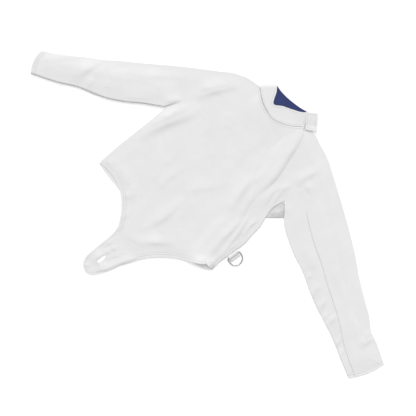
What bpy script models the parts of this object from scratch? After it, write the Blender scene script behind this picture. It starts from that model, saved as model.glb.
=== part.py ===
"""A fencing jacket laid flat, front up: cloth walls lying on each other, and a steel D-ring in a webbing loop.

Tables and sizes are in millimetres. X runs to the wearer's left, Y to the neck, Z up from the surface
that the jacket lies on, with the origin on that surface under the middle of the body.
"""

import math

import bmesh
import bpy
import numpy as np

MM = 0.001

# Cloth and how its layers lie
CLOTH = 1.6
LINING = 1.0
TAPE = 1.0
LAYER_GAP = 0.6
SEAM_GAP = 0.45
HIDDEN_SEAM_GAP = 0.9
LAYER_STEP = CLOTH + LAYER_GAP
UNDER_MID = CLOTH / 2
UPPER_MID = UNDER_MID + LAYER_STEP
FOLD_RADIUS = LAYER_STEP / 2
OVERLAP_GAP = 0.9
OVERLAP_LIFT = CLOTH + OVERLAP_GAP

# Mesh divisions, shared by the pieces that meet at a seam
SIDE_STEPS = 8
ARMHOLE_STEPS = 10
GUSSET_STEPS = 2
SHOULDER_STEPS = 3
NECK_STEPS = 14
SLEEVE_ROWS = 17
FOLD_STEPS = 4

# Closure: the right front laps over the left one
LAP_WIDTH = 36.0
LAP_CLEAR = 6.0
LAP_SLOPE = 34.0

# Outlines, as the few points that a smooth line runs through: (x, y)
SIDE_RIGHT = [(-268, -218), (-262, -130), (-254, -62), (-247, 0), (-242, 66)]
ARMHOLE_RIGHT = [(-242, 66), (-205, 133), (-165, 201), (-146, 252), (-133, 314)]
SHOULDER_RIGHT = [(-133, 314), (-105, 321), (-74, 326)]
NECK_FRONT = [(-74, 326), (-55, 310), (-17, 289), (25, 280), (66, 292), (102, 317), (116, 330)]
NECK_LAP = [(116, 330), (134, 319)]
CLOSURE = [
    (208, -207), (203, -162), (198, -101), (201, -70), (197, -27), (179, 24),
    (175, 80), (176, 155), (161, 224), (147, 283), (134, 319),
]
HEM_RIGHT = [
    (-268, -218), (-245, -214), (-215, -215), (-180, -223), (-150, -238), (-116, -267), (-96, -292), (-78, -320),
]
FRONT_POINT = [(-78, -320), (-62, -339), (-14, -352), (44, -351)]
HEM_LEFT = [(44, -351), (67, -318), (89, -294), (126, -262), (170, -235), (190, -222), (208, -207)]
SIDE_LEFT = [
    (236, -201), (236, -170), (240, -143), (245, -108), (251, -75), (249, -30), (248, 5), (240, 38), (235, 80),
    (246, 120),
]
ARMPIT_LEFT = [(284, 81), (265, 103), (246, 120)]
ARMHOLE_LEFT_LOW = [(246, 120), (238, 153), (233, 187)]
ARMHOLE_LEFT_HIGH = [(233, 187), (241, 233), (251, 268), (265, 308)]
SHOULDER_LEFT = [(122, 336), (140, 344), (160, 342), (197, 331), (233, 321), (265, 308)]
LEFT_FRONT_HEM = [(174, -216), (205, -203), (223, -204), (236, -201)]
LEFT_FRONT_TOP = [(100, 306), (122, 322), (140, 344), (160, 342), (197, 331), (233, 321), (265, 308)]
NECK_BACK = [(-74, 326), (-40, 315), (20, 310), (80, 319), (122, 336)]
HEM_BACK = [
    (-266, -219), (-236, -225), (-194, -230), (-150, -235), (0, -236), (150, -236), (189, -229), (219, -220),
    (237, -203),
]
COLLAR_FOLD = [(-74, 326), (-68, 340), (-56, 354), (-39, 370)]
COLLAR_FRONT_TOP = [(-39, 370), (-23, 351), (-12, 329), (-4, 318), (25, 334), (52, 347), (82, 364), (98, 380)]
COLLAR_BACK_TOP = [(-39, 370), (-19, 366), (0, 364), (35, 366), (68, 371), (98, 380)]
COLLAR_END = [(116, 330), (98, 380)]
LINING_TOP = [(-35, 367), (-19, 364), (0, 363), (35, 365), (68, 370), (92, 376)]
LINING_LEFT = [(-46, 320), (-40, 345), (-35, 367)]
LINING_FOOT = [(-46, 320), (20, 313), (80, 322), (110, 335)]
TAB_INNER = [(130, 331), (90, 371)]
TAB_OUTER = [(160, 353), (121, 397)]
GUSSET_INNER = [(240, 38), (235, 81), (244, 110)]
GUSSET_OUTER = [(284, 81), (266, 102), (250, 116)]

# Right sleeve, armhole to cuff: outer and lower edge, share of the width to the front seam, depth of the
# cloth tucked under along that seam, and how far the section bows towards the cuff
RIGHT_SLEEVE = [
    # outer_x, outer_y, inner_x, inner_y, seam, tuck, bow
    (-133, 314, -242, 66, 0.0, 0, 0),
    (-165, 298, -250, 60, 0.0, 2, 0),
    (-205, 267, -257, 53, 0.0, 8, 0),
    (-275, 213, -277, 38, 0.0, 34, 0),
    (-362, 141, -310, 13, 0.0, 60, 0),
    (-412, 99, -346, -17, 0.0, 62, 0),
    (-457, 63, -391, -48, 0.0, 58, 0),
    (-490, 33, -436, -72, 0.0, 54, 0),
    (-531, 3, -487, -92, 0.0, 50, 0),
    (-584, -40, -549, -130, 0.0, 46, 2),
    (-657, -92, -629, -170, 0.0, 43, 9),
]
# Left sleeve, laid open with its front seam showing
LEFT_SLEEVE = [
    # outer_x, outer_y, inner_x, inner_y, seam, tuck, bow
    (265, 308, 284, 81, 0.33, 0, 0),
    (330, 274, 309, 60, 0.40, 0, 0),
    (398, 237, 346, 39, 0.38, 0, 0),
    (460, 202, 393, 18, 0.37, 0, 0),
    (520, 166, 447, 1, 0.36, 0, 0),
    (582, 123, 506, -27, 0.36, 0, 0),
    (641, 86, 566, -51, 0.35, 0, 0),
    (700, 52, 630, -71, 0.30, 0, 0),
    (745, 19, 688, -92, 0.22, 0, 0),
    (778, 7, 737, -114, 0.18, 0, 2),
    (848, -26, 798, -139, 0.17, 0, 8),
]
BACK_SEAM = 26.0
TUCK_CLEAR = 10.0
TUCK_SLOPE = 30.0
# The under sleeve's head is flat, and this wide before it narrows to the back seam
HEAD_SPREAD = 30.0
# Folds fade out this close to a sleeve's edges
EDGE_FADE = 24.0
# The front rises to the collar within this distance of the neck, and along the neck from this X
NECK_CLEAR = 6.0
NECK_SLOPE = 40.0
NECK_RISE_FROM = -70.0
NECK_RISE_OVER = 30.0
# The collar front rises clear of the lining within this distance of its fold
FOLD_RISE = 9.0
# The tab is level over this share of its width, then falls to rest
TAB_LEVEL = 0.3

# The largest folds of the upper layer: a soft ridge from one point to another, its half width and height
FOLDS = [
    # x0, y0, x1, y1, half_width, height
    (-159, 133, -231, -118, 26, 3.0),
    (98, 155, 148, -18, 22, 2.6),
    (8, -302, 75, -235, 20, 2.2),
    (9, -146, 11, -238, 18, 1.8),
    (-64, -62, -64, -118, 18, 1.6),
    (222, 60, 205, 168, 12, 1.8),
    (224, -62, 218, -150, 9, 2.2),
    (-150, 255, -205, 168, 14, 2.4),
    (430, 120, 560, 60, 20, 2.0),
    (-420, 40, -480, -40, 16, 1.8),
]

# Crotch strap, a row for each section across the band: from its seam on the front point, round the hole
# and back up, under the front, to the back hem
STRAP = [
    # outer_x, outer_y, inner_x, inner_y
    (44, -353, -13, -353),
    (30, -379, -20, -382),
    (16, -406, -30, -407),
    (5, -438, -34, -428),
    (-11, -469, -37, -444),
    (-30, -494, -41, -449),
    (-48, -500, -43, -449),
    (-70, -490, -46, -447),
    (-82, -468, -48, -438),
    (-82, -430, -46, -426),
    (-77, -392, -33, -403),
    (-72, -350, -16, -353),
    (-70, -300, -18, -300),
    (-70, -238, -18, -238),
]
STRAP_STEPS = 36

# D-ring: its bar turns in the loop, and its axis points away from the body
RING_CENTRE = (252.0, -122.5)
RING_TURN = math.radians(-8)
RING_WIRE = 4.5
RING_HALF_WIDTH = 23.0
RING_LEG = 12.0
RING_CORNER = 4.0
BAR_HEIGHT = TAPE + SEAM_GAP + RING_WIRE / 2
RING_ARC_STEPS = 18
TAPE_WIDTH = 34.0
TAPE_REACH = 13.0
TAPE_START = 0.9
# The tape's rise over the bar: how far to each side of it, and how far below the top
BAR_CROWN = [(4.8, 2.2), (2.4, 0.5), (0.6, 0.0)]


def smooth_line(points, steps):
    """Points at even steps along the smooth curve (cubic, through every given point)."""
    knots = np.array(points, float)
    if len(knots) == 2:
        knots = np.array([knots[0], knots.mean(axis=0), knots[1]])
    chord = np.linalg.norm(np.diff(knots, axis=0), axis=1)
    reach = np.concatenate([[0], np.cumsum(chord)])
    tangents = np.gradient(knots, reach, axis=0)
    fine = []
    for index, length in enumerate(chord):
        for part in np.linspace(0, 1, 25)[:-1]:
            square, cube = part**2, part**3
            fine.append(
                (2 * cube - 3 * square + 1) * knots[index]
                + (cube - 2 * square + part) * length * tangents[index]
                + (3 * square - 2 * cube) * knots[index + 1]
                + (cube - square) * length * tangents[index + 1]
            )
    fine = np.array(fine + [knots[-1]])
    travelled = np.concatenate([[0], np.cumsum(np.linalg.norm(np.diff(fine, axis=0), axis=1))])
    wanted = np.linspace(0, travelled[-1], steps + 1)
    return np.column_stack([np.interp(wanted, travelled, fine[:, axis]) for axis in range(fine.shape[1])])


def joined(*lines):
    """One line from several that follow each other."""
    return np.concatenate([lines[0]] + [line[1:] for line in lines[1:]])


def offset(line, distance):
    """The line moved sideways, to its left for a positive distance."""
    along = np.gradient(line, axis=0)
    along /= np.linalg.norm(along, axis=1)[:, None]
    return line + distance * np.column_stack([-along[:, 1], along[:, 0]])


def filled(bottom, top, left, right):
    """Rows of points that fill four edge lines with shared corners (a Coons patch)."""
    across = np.linspace(0, 1, len(bottom))[None, :, None]
    up = np.linspace(0, 1, len(left))[:, None, None]
    between_ends = (1 - up) * bottom[None] + up * top[None]
    between_sides = (1 - across) * left[:, None] + across * right[:, None]
    corners = (1 - up) * ((1 - across) * bottom[0] + across * bottom[-1]) + up * (
        (1 - across) * top[0] + across * top[-1]
    )
    return between_ends + between_sides - corners


def smoothstep(value):
    value = np.clip(value, 0, 1)
    return value * value * (3 - 2 * value)


def distance_to(line, places):
    """Distance from each place to a polyline."""
    best = np.full(places.shape[:-1], np.inf)
    for start, end in zip(line[:-1], line[1:]):
        run = end - start
        share = np.clip(((places - start) @ run) / (run @ run), 0, 1)
        best = np.minimum(best, np.linalg.norm(places - start - share[..., None] * run, axis=-1))
    return best


def fold_lift(places):
    """Height that the large folds add to the upper layer."""
    lift = np.zeros(places.shape[:-1])
    for x0, y0, x1, y1, half_width, height in FOLDS:
        start, run = np.array([x0, y0], float), np.array([x1 - x0, y1 - y0], float)
        share = np.clip(((places - start) @ run) / (run @ run), 0, 1)
        away = np.linalg.norm(places - start - share[..., None] * run, axis=-1)
        tapered = height * (0.35 + 0.65 * np.sin(math.pi * share))
        lift = np.maximum(lift, tapered * np.exp(-((away / half_width) ** 2) * 2))
    return lift


def material(name, colour, roughness, metallic=0.0):
    made = bpy.data.materials.new(name)
    made.use_nodes = True
    shader = made.node_tree.nodes["Principled BSDF"]
    shader.inputs["Base Color"].default_value = (*colour, 1)
    shader.inputs["Roughness"].default_value = roughness
    shader.inputs["Metallic"].default_value = metallic
    return made


def wall(name, grid, thickness, finish):
    """A cloth wall: a grid of middle points, rows by columns, given its thickness."""
    rows, columns = grid.shape[:2]
    mesh = bpy.data.meshes.new(name)
    shape = bmesh.new()
    bmesh.ops.create_grid(shape, x_segments=columns - 1, y_segments=rows - 1, size=1)
    for vertex in shape.verts:
        column = round((vertex.co.x + 1) / 2 * (columns - 1))
        row = round((vertex.co.y + 1) / 2 * (rows - 1))
        vertex.co = grid[row, column] * MM
    shape.to_mesh(mesh)
    shape.free()
    mesh.materials.append(finish)
    mesh.shade_smooth()
    piece = bpy.data.objects.new(name, mesh)
    bpy.context.collection.objects.link(piece)
    solid = piece.modifiers.new("cloth", "SOLIDIFY")
    solid.thickness = thickness * MM
    solid.offset = 0
    solid.use_even_offset = False
    return piece


def raised(places, heights):
    return np.concatenate([places, np.broadcast_to(heights, places.shape[:-1])[..., None]], axis=-1)


def armhole_left():
    """The left armhole from the armpit up: gusset stretch, low stretch to the front seam, high stretch."""
    return joined(
        smooth_line(ARMPIT_LEFT, GUSSET_STEPS),
        smooth_line(ARMHOLE_LEFT_LOW, 2),
        smooth_line(ARMHOLE_LEFT_HIGH, ARMHOLE_STEPS - 2),
    )


def neck_lift(places):
    """The front rises to the collar's height along the neck, except by the right shoulder."""
    away = distance_to(smooth_line(NECK_FRONT, NECK_STEPS), places)
    near = 1 - smoothstep((away - NECK_CLEAR) / NECK_SLOPE)
    return OVERLAP_LIFT * near * smoothstep((places[..., 0] - NECK_RISE_FROM) / NECK_RISE_OVER)


def closure_lift(places):
    """The front rises over the left front's underlap."""
    line = smooth_line(CLOSURE, 2 * SIDE_STEPS)
    return OVERLAP_LIFT * (1 - smoothstep((distance_to(line, places) - LAP_WIDTH - LAP_CLEAR) / LAP_SLOPE))


def front_panel(finish):
    left = joined(smooth_line(SIDE_RIGHT, SIDE_STEPS), smooth_line(ARMHOLE_RIGHT, ARMHOLE_STEPS))
    top = joined(
        smooth_line(SHOULDER_RIGHT, SHOULDER_STEPS), smooth_line(NECK_FRONT, NECK_STEPS), smooth_line(NECK_LAP, 3)
    )
    bottom = joined(smooth_line(HEM_RIGHT, 9), smooth_line(FRONT_POINT, 4), smooth_line(HEM_LEFT, 7))
    right = smooth_line(CLOSURE, SIDE_STEPS + ARMHOLE_STEPS)
    places = filled(bottom, top, left, right)
    heights = UPPER_MID + fold_lift(places) + np.maximum(neck_lift(places), closure_lift(places))
    return wall("front_panel", raised(places, heights), CLOTH, finish)


def left_front_panel(finish):
    left = smooth_line(CLOSURE, SIDE_STEPS + ARMHOLE_STEPS) - np.array([LAP_WIDTH, 0])
    left[0] = LEFT_FRONT_HEM[0]
    left[-1] = LEFT_FRONT_TOP[0]
    bottom = smooth_line(LEFT_FRONT_HEM, 8)
    top = smooth_line(LEFT_FRONT_TOP, 8)
    right = joined(smooth_line(SIDE_LEFT, SIDE_STEPS), armhole_left()[GUSSET_STEPS:])
    places = filled(bottom, top, left, right)
    return wall("left_front_panel", raised(places, UPPER_MID + fold_lift(places)), CLOTH, finish)


def back_panel(finish):
    left = joined(smooth_line(SIDE_RIGHT, SIDE_STEPS), smooth_line(ARMHOLE_RIGHT, ARMHOLE_STEPS))
    right = joined(smooth_line(SIDE_LEFT, SIDE_STEPS), armhole_left()[GUSSET_STEPS:])
    bottom = smooth_line(HEM_BACK, 18)
    left[0], right[0] = bottom[0], bottom[-1]
    top = joined(
        smooth_line(SHOULDER_RIGHT, SHOULDER_STEPS), smooth_line(NECK_BACK, 10), smooth_line(SHOULDER_LEFT, 5)
    )
    return wall("back_panel", raised(filled(bottom, top, left, right), UNDER_MID), CLOTH, finish)


def gusset(finish):
    """The diamond in the left armpit, between the back and the under sleeve."""
    sleeve_side = offset(np.array(GUSSET_OUTER, float), SEAM_GAP)
    body_side = np.array(GUSSET_INNER) + np.array([SEAM_GAP, 0])
    foot = smooth_line([body_side[0], sleeve_side[0]], 2)
    head = smooth_line([body_side[-1], sleeve_side[-1]], 2)
    return wall("underarm_gusset", raised(filled(foot, head, body_side, sleeve_side), UNDER_MID), CLOTH, finish)


def sleeve_sections(table, armhole, seam_step):
    """Rows of places across the sleeve, from its inner to its outer edge, and each row's tuck."""
    rows = smooth_line(table, SLEEVE_ROWS)
    across = len(armhole) - 1
    first = None
    sections = []
    for index, row in enumerate(rows):
        outer, inner, seam, bow = row[0:2], row[2:4], row[4], row[6]
        if seam_step:
            share = np.interp(range(across + 1), [0, seam_step, across], [0, seam, 1])
        else:
            share = np.linspace(0, 1, across + 1)
        straight = inner + share[:, None] * (outer - inner)
        outward = np.array([outer[1] - inner[1], inner[0] - outer[0]]) / np.linalg.norm(outer - inner)
        outward *= np.sign(outward[0]) * np.sign(outer[0])
        straight = straight + 4 * bow * (share * (1 - share))[:, None] * outward
        if first is None:
            first = armhole - straight
        fade = 1 - smoothstep(index / SLEEVE_ROWS / 0.35)
        sections.append(straight + fade * first)
    return np.array(sections), rows[:, 5]


def along_section(section, run):
    """The place at a distance from the section's first point."""
    lengths = np.linalg.norm(np.diff(section, axis=0), axis=1)
    travelled = np.concatenate([[0], np.cumsum(lengths)])
    return [np.interp(run, travelled, section[:, axis]) for axis in (0, 1)], travelled


def half_turn(centre, height, radius, start, end):
    """Points round a fold, as (run, height), between two angles in degrees."""
    angles = np.radians(np.linspace(start, end, FOLD_STEPS + 1))
    return [(centre + radius * math.cos(a), height + radius * math.sin(a)) for a in angles]


def placed(section, profile):
    """Turns (run, height) points across one section into places."""
    points = []
    for run, height in profile:
        (x, y), _ = along_section(section, run)
        points.append((x, y, height))
    return points


def upper_height(section, run, tuck):
    """Height of the upper layer's middle: over the tucked cloth, then down to one layer."""
    (x, y), travelled = along_section(section, run)
    width = travelled[-1]
    inside = smoothstep(min(run, width - run) / EDGE_FADE)
    stacked = 0.0
    if tuck > 0:
        stacked = 2 * LAYER_STEP * (1 - smoothstep((run - tuck - TUCK_CLEAR) / TUCK_SLOPE))
    return UPPER_MID + stacked + inside * float(fold_lift(np.array([x, y])))


def sleeve_top_grid(sections, tucks, seam_step):
    """The top sleeve: across the upper layer, round the outer edge, and under to the back seam."""
    rows = []
    edge = CLOTH / 2
    for section, tuck in zip(sections, tucks):
        _, travelled = along_section(section, 0)
        width = travelled[-1]
        runs = travelled[seam_step:-1].copy()
        runs[0] += SEAM_GAP / 2 if seam_step else edge
        profile = [(run, upper_height(section, run, tuck)) for run in runs]
        turn = half_turn(width - edge - FOLD_RADIUS, UNDER_MID + FOLD_RADIUS, FOLD_RADIUS, 90, -90)
        profile += turn
        profile += [(width - BACK_SEAM / 2, UNDER_MID), (width - BACK_SEAM, UNDER_MID)]
        rows.append(placed(section, profile))
    return np.array(rows)


def sleeve_under_grid(sections, tucks, seam_step):
    """The under sleeve: from the front seam round the inner edge, and across to the back seam."""
    rows = []
    edge = CLOTH / 2
    for index, (section, tuck) in enumerate(zip(sections, tucks)):
        _, travelled = along_section(section, 0)
        width = travelled[-1]
        if seam_step:
            runs = travelled[seam_step:0:-1].copy()
            runs[0] -= SEAM_GAP / 2
            profile = [(run, upper_height(section, run, tuck)) for run in runs]
            profile += half_turn(edge + FOLD_RADIUS, UNDER_MID + FOLD_RADIUS, FOLD_RADIUS, 90, 270)
        elif index == 0:
            spread = np.linspace(edge, HEAD_SPREAD, 2 * FOLD_STEPS + 5)
            profile = [(run, UNDER_MID) for run in spread]
        else:
            inner = edge + FOLD_RADIUS
            outer = inner + tuck
            third, second = UNDER_MID + 2 * LAYER_STEP, UNDER_MID + LAYER_STEP
            profile = [(edge, third), ((edge + outer) / 2, third)]
            profile += half_turn(outer, third - FOLD_RADIUS, FOLD_RADIUS, 90, -90)
            profile += [((inner + outer) / 2, second)]
            profile += half_turn(inner, second - FOLD_RADIUS, FOLD_RADIUS, 90, 270)
        last = profile[-1][0]
        end = width - BACK_SEAM - HIDDEN_SEAM_GAP
        profile += [(last + share * (end - last), UNDER_MID) for share in np.linspace(0, 1, 9)[1:]]
        rows.append(placed(section, profile))
    return np.array(rows)


def sleeve(side, table, armhole, seam_step, finish):
    away = -1 if side == "left" else 1
    sections, tucks = sleeve_sections(table, offset(armhole, away * SEAM_GAP), seam_step)
    top = sleeve_top_grid(sections, tucks, seam_step)
    sections, tucks = sleeve_sections(table, offset(armhole, away * HIDDEN_SEAM_GAP), seam_step)
    under = sleeve_under_grid(sections, tucks, seam_step)
    wall(f"sleeve_{side}_top", top, CLOTH, finish)
    wall(f"sleeve_{side}_under", under, CLOTH, finish)


def collar(finish, lining_finish):
    high = UPPER_MID + OVERLAP_LIFT
    foot = offset(smooth_line(NECK_FRONT, NECK_STEPS), SEAM_GAP)
    fold = smooth_line(COLLAR_FOLD, 5)
    top = smooth_line(COLLAR_FRONT_TOP, NECK_STEPS)
    end = smooth_line(COLLAR_END, 5)
    fold[0], end[0] = foot[0], foot[-1]
    places = filled(foot, top, fold, end)
    heights = UPPER_MID + OVERLAP_LIFT * smoothstep(distance_to(fold, places) / FOLD_RISE)
    heights = np.minimum(heights, UPPER_MID + np.maximum(neck_lift(places), heights - UPPER_MID))
    wall("collar_front", raised(places, heights), CLOTH, finish)

    foot = offset(smooth_line(NECK_BACK, 10), SEAM_GAP)
    end = smooth_line([NECK_BACK[-1], COLLAR_BACK_TOP[-1]], 4)
    fold = smooth_line(COLLAR_FOLD, 4)
    fold[0], end[0] = foot[0], foot[-1]
    places = filled(foot, smooth_line(COLLAR_BACK_TOP, 10), fold, end)
    wall("collar_back", raised(places, UNDER_MID), CLOTH, finish)

    end = smooth_line([LINING_FOOT[-1], LINING_TOP[-1]], 3)
    places = filled(smooth_line(LINING_FOOT, 10), smooth_line(LINING_TOP, 10), smooth_line(LINING_LEFT, 3), end)
    wall("collar_lining", raised(places, CLOTH + SEAM_GAP + LINING / 2), LINING, lining_finish)

    inner, outer = smooth_line(TAB_INNER, 4), smooth_line(TAB_OUTER, 4)
    places = filled(
        smooth_line([inner[0], outer[0]], 4), smooth_line([inner[-1], outer[-1]], 4), inner, outer
    )
    across = np.linspace(0, 1, 5)
    heights = high + OVERLAP_LIFT * (1 - smoothstep((across - TAB_LEVEL) / (1 - TAB_LEVEL)))[None, :]
    wall("collar_tab", raised(places, heights), CLOTH, finish)


def crotch_strap(finish):
    rows = smooth_line(STRAP, STRAP_STEPS)
    share = np.linspace(0, 1, 4)[None, :, None]
    places = (1 - share) * rows[:, None, 0:2] + share * rows[:, None, 2:4]
    wall("crotch_strap", raised(places, UNDER_MID), CLOTH, finish)


def ring_place(outward, sideways):
    """A place by the ring: outward from its bar, and along the bar."""
    axis = np.array([math.cos(RING_TURN), math.sin(RING_TURN)])
    along = np.array([-axis[1], axis[0]])
    return np.array(RING_CENTRE) + outward * axis + sideways * along


def ring_loop(finish):
    """Tape from the side seam, under the bar, round and back over it."""
    side = smooth_line(SIDE_LEFT, SIDE_STEPS)
    low = TAPE / 2
    over = TAPE + 2 * SEAM_GAP + RING_WIRE + TAPE / 2
    turn = [
        (TAPE_REACH + 1.6 * math.cos(a), low + FOLD_RADIUS + FOLD_RADIUS * math.sin(a))
        for a in np.radians([-90, -30, 30, 90])
    ]
    profile = [(None, low), (-2, low), (7, low)] + turn + [(8, over - 3.6)]
    profile += [(sign * run, over - drop) for sign in (1, -1) for run, drop in BAR_CROWN[::sign]]
    profile += [(None, UPPER_MID)]
    columns = []
    for sideways in np.linspace(-TAPE_WIDTH / 2, TAPE_WIDTH / 2, 5):
        column = []
        for outward, height in profile:
            if outward is None:
                y = ring_place(-9, sideways)[1]
                place = np.array([np.interp(y, side[:, 1], side[:, 0]) + TAPE_START, y])
            else:
                place = ring_place(outward, sideways)
            column.append((*place, height))
        columns.append(column)
    wall("ring_loop", np.array(columns), TAPE, finish)


def d_ring(finish):
    """A bent wire: a straight bar with round corners, two legs and a half circle."""
    corner, half = RING_CORNER, RING_HALF_WIDTH
    path = [
        (corner - corner * math.sin(a), -half + corner - corner * math.cos(a))
        for a in np.radians(np.linspace(90, 0, 5))
    ]
    path += [
        (RING_LEG + half * math.sin(a), -half * math.cos(a))
        for a in np.radians(np.linspace(0, 180, RING_ARC_STEPS + 1))
    ]
    path += [
        (corner - corner * math.sin(a), half - corner + corner * math.cos(a))
        for a in np.radians(np.linspace(0, 90, 5))
    ]
    drop = math.asin((BAR_HEIGHT - RING_WIRE / 2 - 0.05) / (RING_LEG + half))
    curve = bpy.data.curves.new("d_ring", "CURVE")
    curve.dimensions = "3D"
    curve.bevel_depth = RING_WIRE / 2 * MM
    curve.bevel_resolution = 3
    spline = curve.splines.new("POLY")
    spline.use_cyclic_u = True
    spline.points.add(len(path) - 1)
    for point, (outward, sideways) in zip(spline.points, path):
        point.co = (outward * MM, sideways * MM, 0, 1)
    curve.materials.append(finish)
    ring = bpy.data.objects.new("d_ring", curve)
    bpy.context.collection.objects.link(ring)
    ring.location = (RING_CENTRE[0] * MM, RING_CENTRE[1] * MM, BAR_HEIGHT * MM)
    ring.rotation_euler = (0, drop, RING_TURN)


def main():
    for old in list(bpy.data.objects):
        bpy.data.objects.remove(old, do_unlink=True)
    cotton = material("white_cotton", (0.80, 0.80, 0.80), 0.9)
    blue = material("blue_lining", (0.03, 0.045, 0.16), 0.85)
    webbing = material("white_webbing", (0.76, 0.76, 0.76), 0.8)
    steel = material("steel", (0.55, 0.55, 0.56), 0.3, metallic=1.0)
    back_panel(cotton)
    left_front_panel(cotton)
    front_panel(cotton)
    gusset(cotton)
    armhole_right = smooth_line(ARMHOLE_RIGHT, ARMHOLE_STEPS)
    sleeve("right", RIGHT_SLEEVE, armhole_right, 0, cotton)
    sleeve("left", LEFT_SLEEVE, armhole_left(), GUSSET_STEPS + 2, cotton)
    collar(cotton, blue)
    crotch_strap(cotton)
    ring_loop(webbing)
    d_ring(steel)


main()
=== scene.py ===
"""A white cotton fencing jacket laid flat, front up: its cloth, stitching, lining, tape and ring.

The outlines repeat the cut of the solids, so each shell lies on its solid's form. Here they are followed
finely, the layers are loosened and creased, and each shell gets its thickness, hems and stitches.
Tables are in millimetres: X to the wearer's left, Y to the neck, Z up from the surface it lies on.
"""

import math

import bmesh
import bpy
import numpy as np
from mathutils import Euler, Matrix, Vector, noise
from mathutils.bvhtree import BVHTree


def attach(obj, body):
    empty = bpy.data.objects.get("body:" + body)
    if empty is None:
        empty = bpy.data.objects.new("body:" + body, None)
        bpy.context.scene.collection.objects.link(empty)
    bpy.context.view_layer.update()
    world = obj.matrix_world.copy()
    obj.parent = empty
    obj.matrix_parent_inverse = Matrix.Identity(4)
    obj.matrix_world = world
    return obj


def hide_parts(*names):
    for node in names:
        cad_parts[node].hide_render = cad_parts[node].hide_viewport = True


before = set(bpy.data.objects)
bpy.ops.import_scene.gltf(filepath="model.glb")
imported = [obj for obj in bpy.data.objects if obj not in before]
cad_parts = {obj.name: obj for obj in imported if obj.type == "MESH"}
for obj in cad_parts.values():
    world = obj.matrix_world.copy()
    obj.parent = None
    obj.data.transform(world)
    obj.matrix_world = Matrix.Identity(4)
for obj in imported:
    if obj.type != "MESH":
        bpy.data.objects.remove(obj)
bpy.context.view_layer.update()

MM = 0.001

# Cloth and how its layers lie, as in the solids
CLOTH = 1.6
LINING = 1.0
TAPE = 1.0
LAYER_GAP = 0.6
SEAM_GAP = 0.45
HIDDEN_SEAM_GAP = 0.9
LAYER_STEP = CLOTH + LAYER_GAP
UNDER_MID = CLOTH / 2
UPPER_MID = UNDER_MID + LAYER_STEP
FOLD_RADIUS = LAYER_STEP / 2
OVERLAP_GAP = 0.9
OVERLAP_LIFT = CLOTH + OVERLAP_GAP
# A shell's rim: its shading keeps within this distance of the edge, and corners sharper than this angle are
# rounded by this share of the thickness
EDGE_HOLD = 0.7
RIM_ANGLE = 60.0
RIM_SHARE = 0.3
RIM_SEGMENTS = 2
# The strap's root laps the front point by this much, so their rounded rims leave one shallow groove
JOIN = 0.35
# A sleeve's head goes this far under the body's edge, as the strap's end does under its start, and keeps
# this far inside its surface there
HEAD_UNDER = 1.1
HEAD_DROP = 0.2

# Fine divisions, of curves and of the pieces that meet at a seam
CURVE_PARTS = 24
EDGE_STEPS = 40
OUTLINE_STEPS = 24
CLOSURE_STEPS = 60
SIDE_STEPS = 72
ARMHOLE_STEPS = 80
GUSSET_STEPS = 16
SHOULDER_STEPS = 24
NECK_STEPS = 100
LAP_STEPS = 8
HEM_RIGHT_STEPS = 60
POINT_STEPS = 32
HEM_LEFT_STEPS = 40
LEFT_FRONT_STEPS = 48
LAP_COLUMNS = 14
SEEN_COLUMNS = 36
NECK_BACK_STEPS = 76
SHOULDER_LEFT_STEPS = 32
GUSSET_ACROSS = 20
SLEEVE_ROWS = 150
FOLD_STEPS = 12
UNDER_STEPS = 40
TURNED_STEPS = 8
TUCK_STEPS = 16
COLLAR_STEPS = 32
COLLAR_CORNER_STEPS = 6
COLLAR_BACK_ROWS = 24
LINING_STEPS = 80
TAB_ROWS = 32
TAB_COLUMNS = 24
ROOT_STEPS = 30
STRAP_STEPS = (40, 60, 120)
STRAP_ACROSS = 30
HOLE_STEPS = 400
RUN_STEPS = 24
TAPE_ACROSS = 24
TAPE_STEPS = 72
RING_BEND_STEPS = 12
RING_ARC_STEPS = 64

# Closure: the right front laps over the left one
LAP_WIDTH = 36.0
LAP_CLEAR = 6.0
LAP_SLOPE = 34.0
# The left front's underlap ends this far short of the closure, and what shows starts this far beyond it
LAP_END = 0.6
SEEN_START = 0.2
# The lapping edge rolls down to this height over the left front. Below the chest the left front swells up
# beside the edge to the same height, and dips under it
EDGE_LIFT = 1.3
EDGE_ROLL = 14.0
DIP = 0.4
DIP_OVER = 12.0
SWELL_OVER = 30.0
SWELL_TOP = 60.0
SWELL_FADE = 90.0
# How narrow the dip and painted shade of the neck seam are, against 1 at a plain seam: the more, the
# narrower
NECK_SCALE = 0.7

# Outlines, as the few points that a smooth line runs through: (x, y)
SIDE_RIGHT = [(-268, -218), (-262, -130), (-254, -62), (-247, 0), (-242, 66)]
ARMHOLE_RIGHT = [(-242, 66), (-205, 133), (-165, 201), (-146, 252), (-133, 314)]
SHOULDER_RIGHT = [(-133, 314), (-105, 321), (-74, 326)]
NECK_FRONT = [(-74, 326), (-55, 310), (-17, 289), (25, 280), (66, 292), (102, 317), (116, 330)]
NECK_LAP = [(116, 330), (134, 319)]
CLOSURE = [
    (208, -207), (203, -162), (198, -101), (201, -70), (197, -27), (179, 24),
    (175, 80), (176, 155), (161, 224), (147, 283), (134, 319),
]
HEM_RIGHT = [
    (-268, -218), (-245, -214), (-215, -215), (-180, -223), (-150, -238), (-116, -267), (-96, -292),
    (-78, -320),
]
FRONT_POINT = [(-78, -320), (-62, -339), (-14, -352), (44, -351)]
HEM_LEFT = [(44, -351), (67, -318), (89, -294), (126, -262), (170, -235), (190, -222), (208, -207)]
SIDE_LEFT = [
    (236, -201), (236, -170), (240, -143), (245, -108), (251, -75), (249, -30), (248, 5), (240, 38),
    (235, 80),
    (246, 120),
]
ARMPIT_LEFT = [(284, 81), (265, 103), (246, 120)]
ARMHOLE_LEFT_LOW = [(246, 120), (238, 153), (233, 187)]
ARMHOLE_LEFT_HIGH = [(233, 187), (241, 233), (251, 268), (265, 308)]
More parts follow.
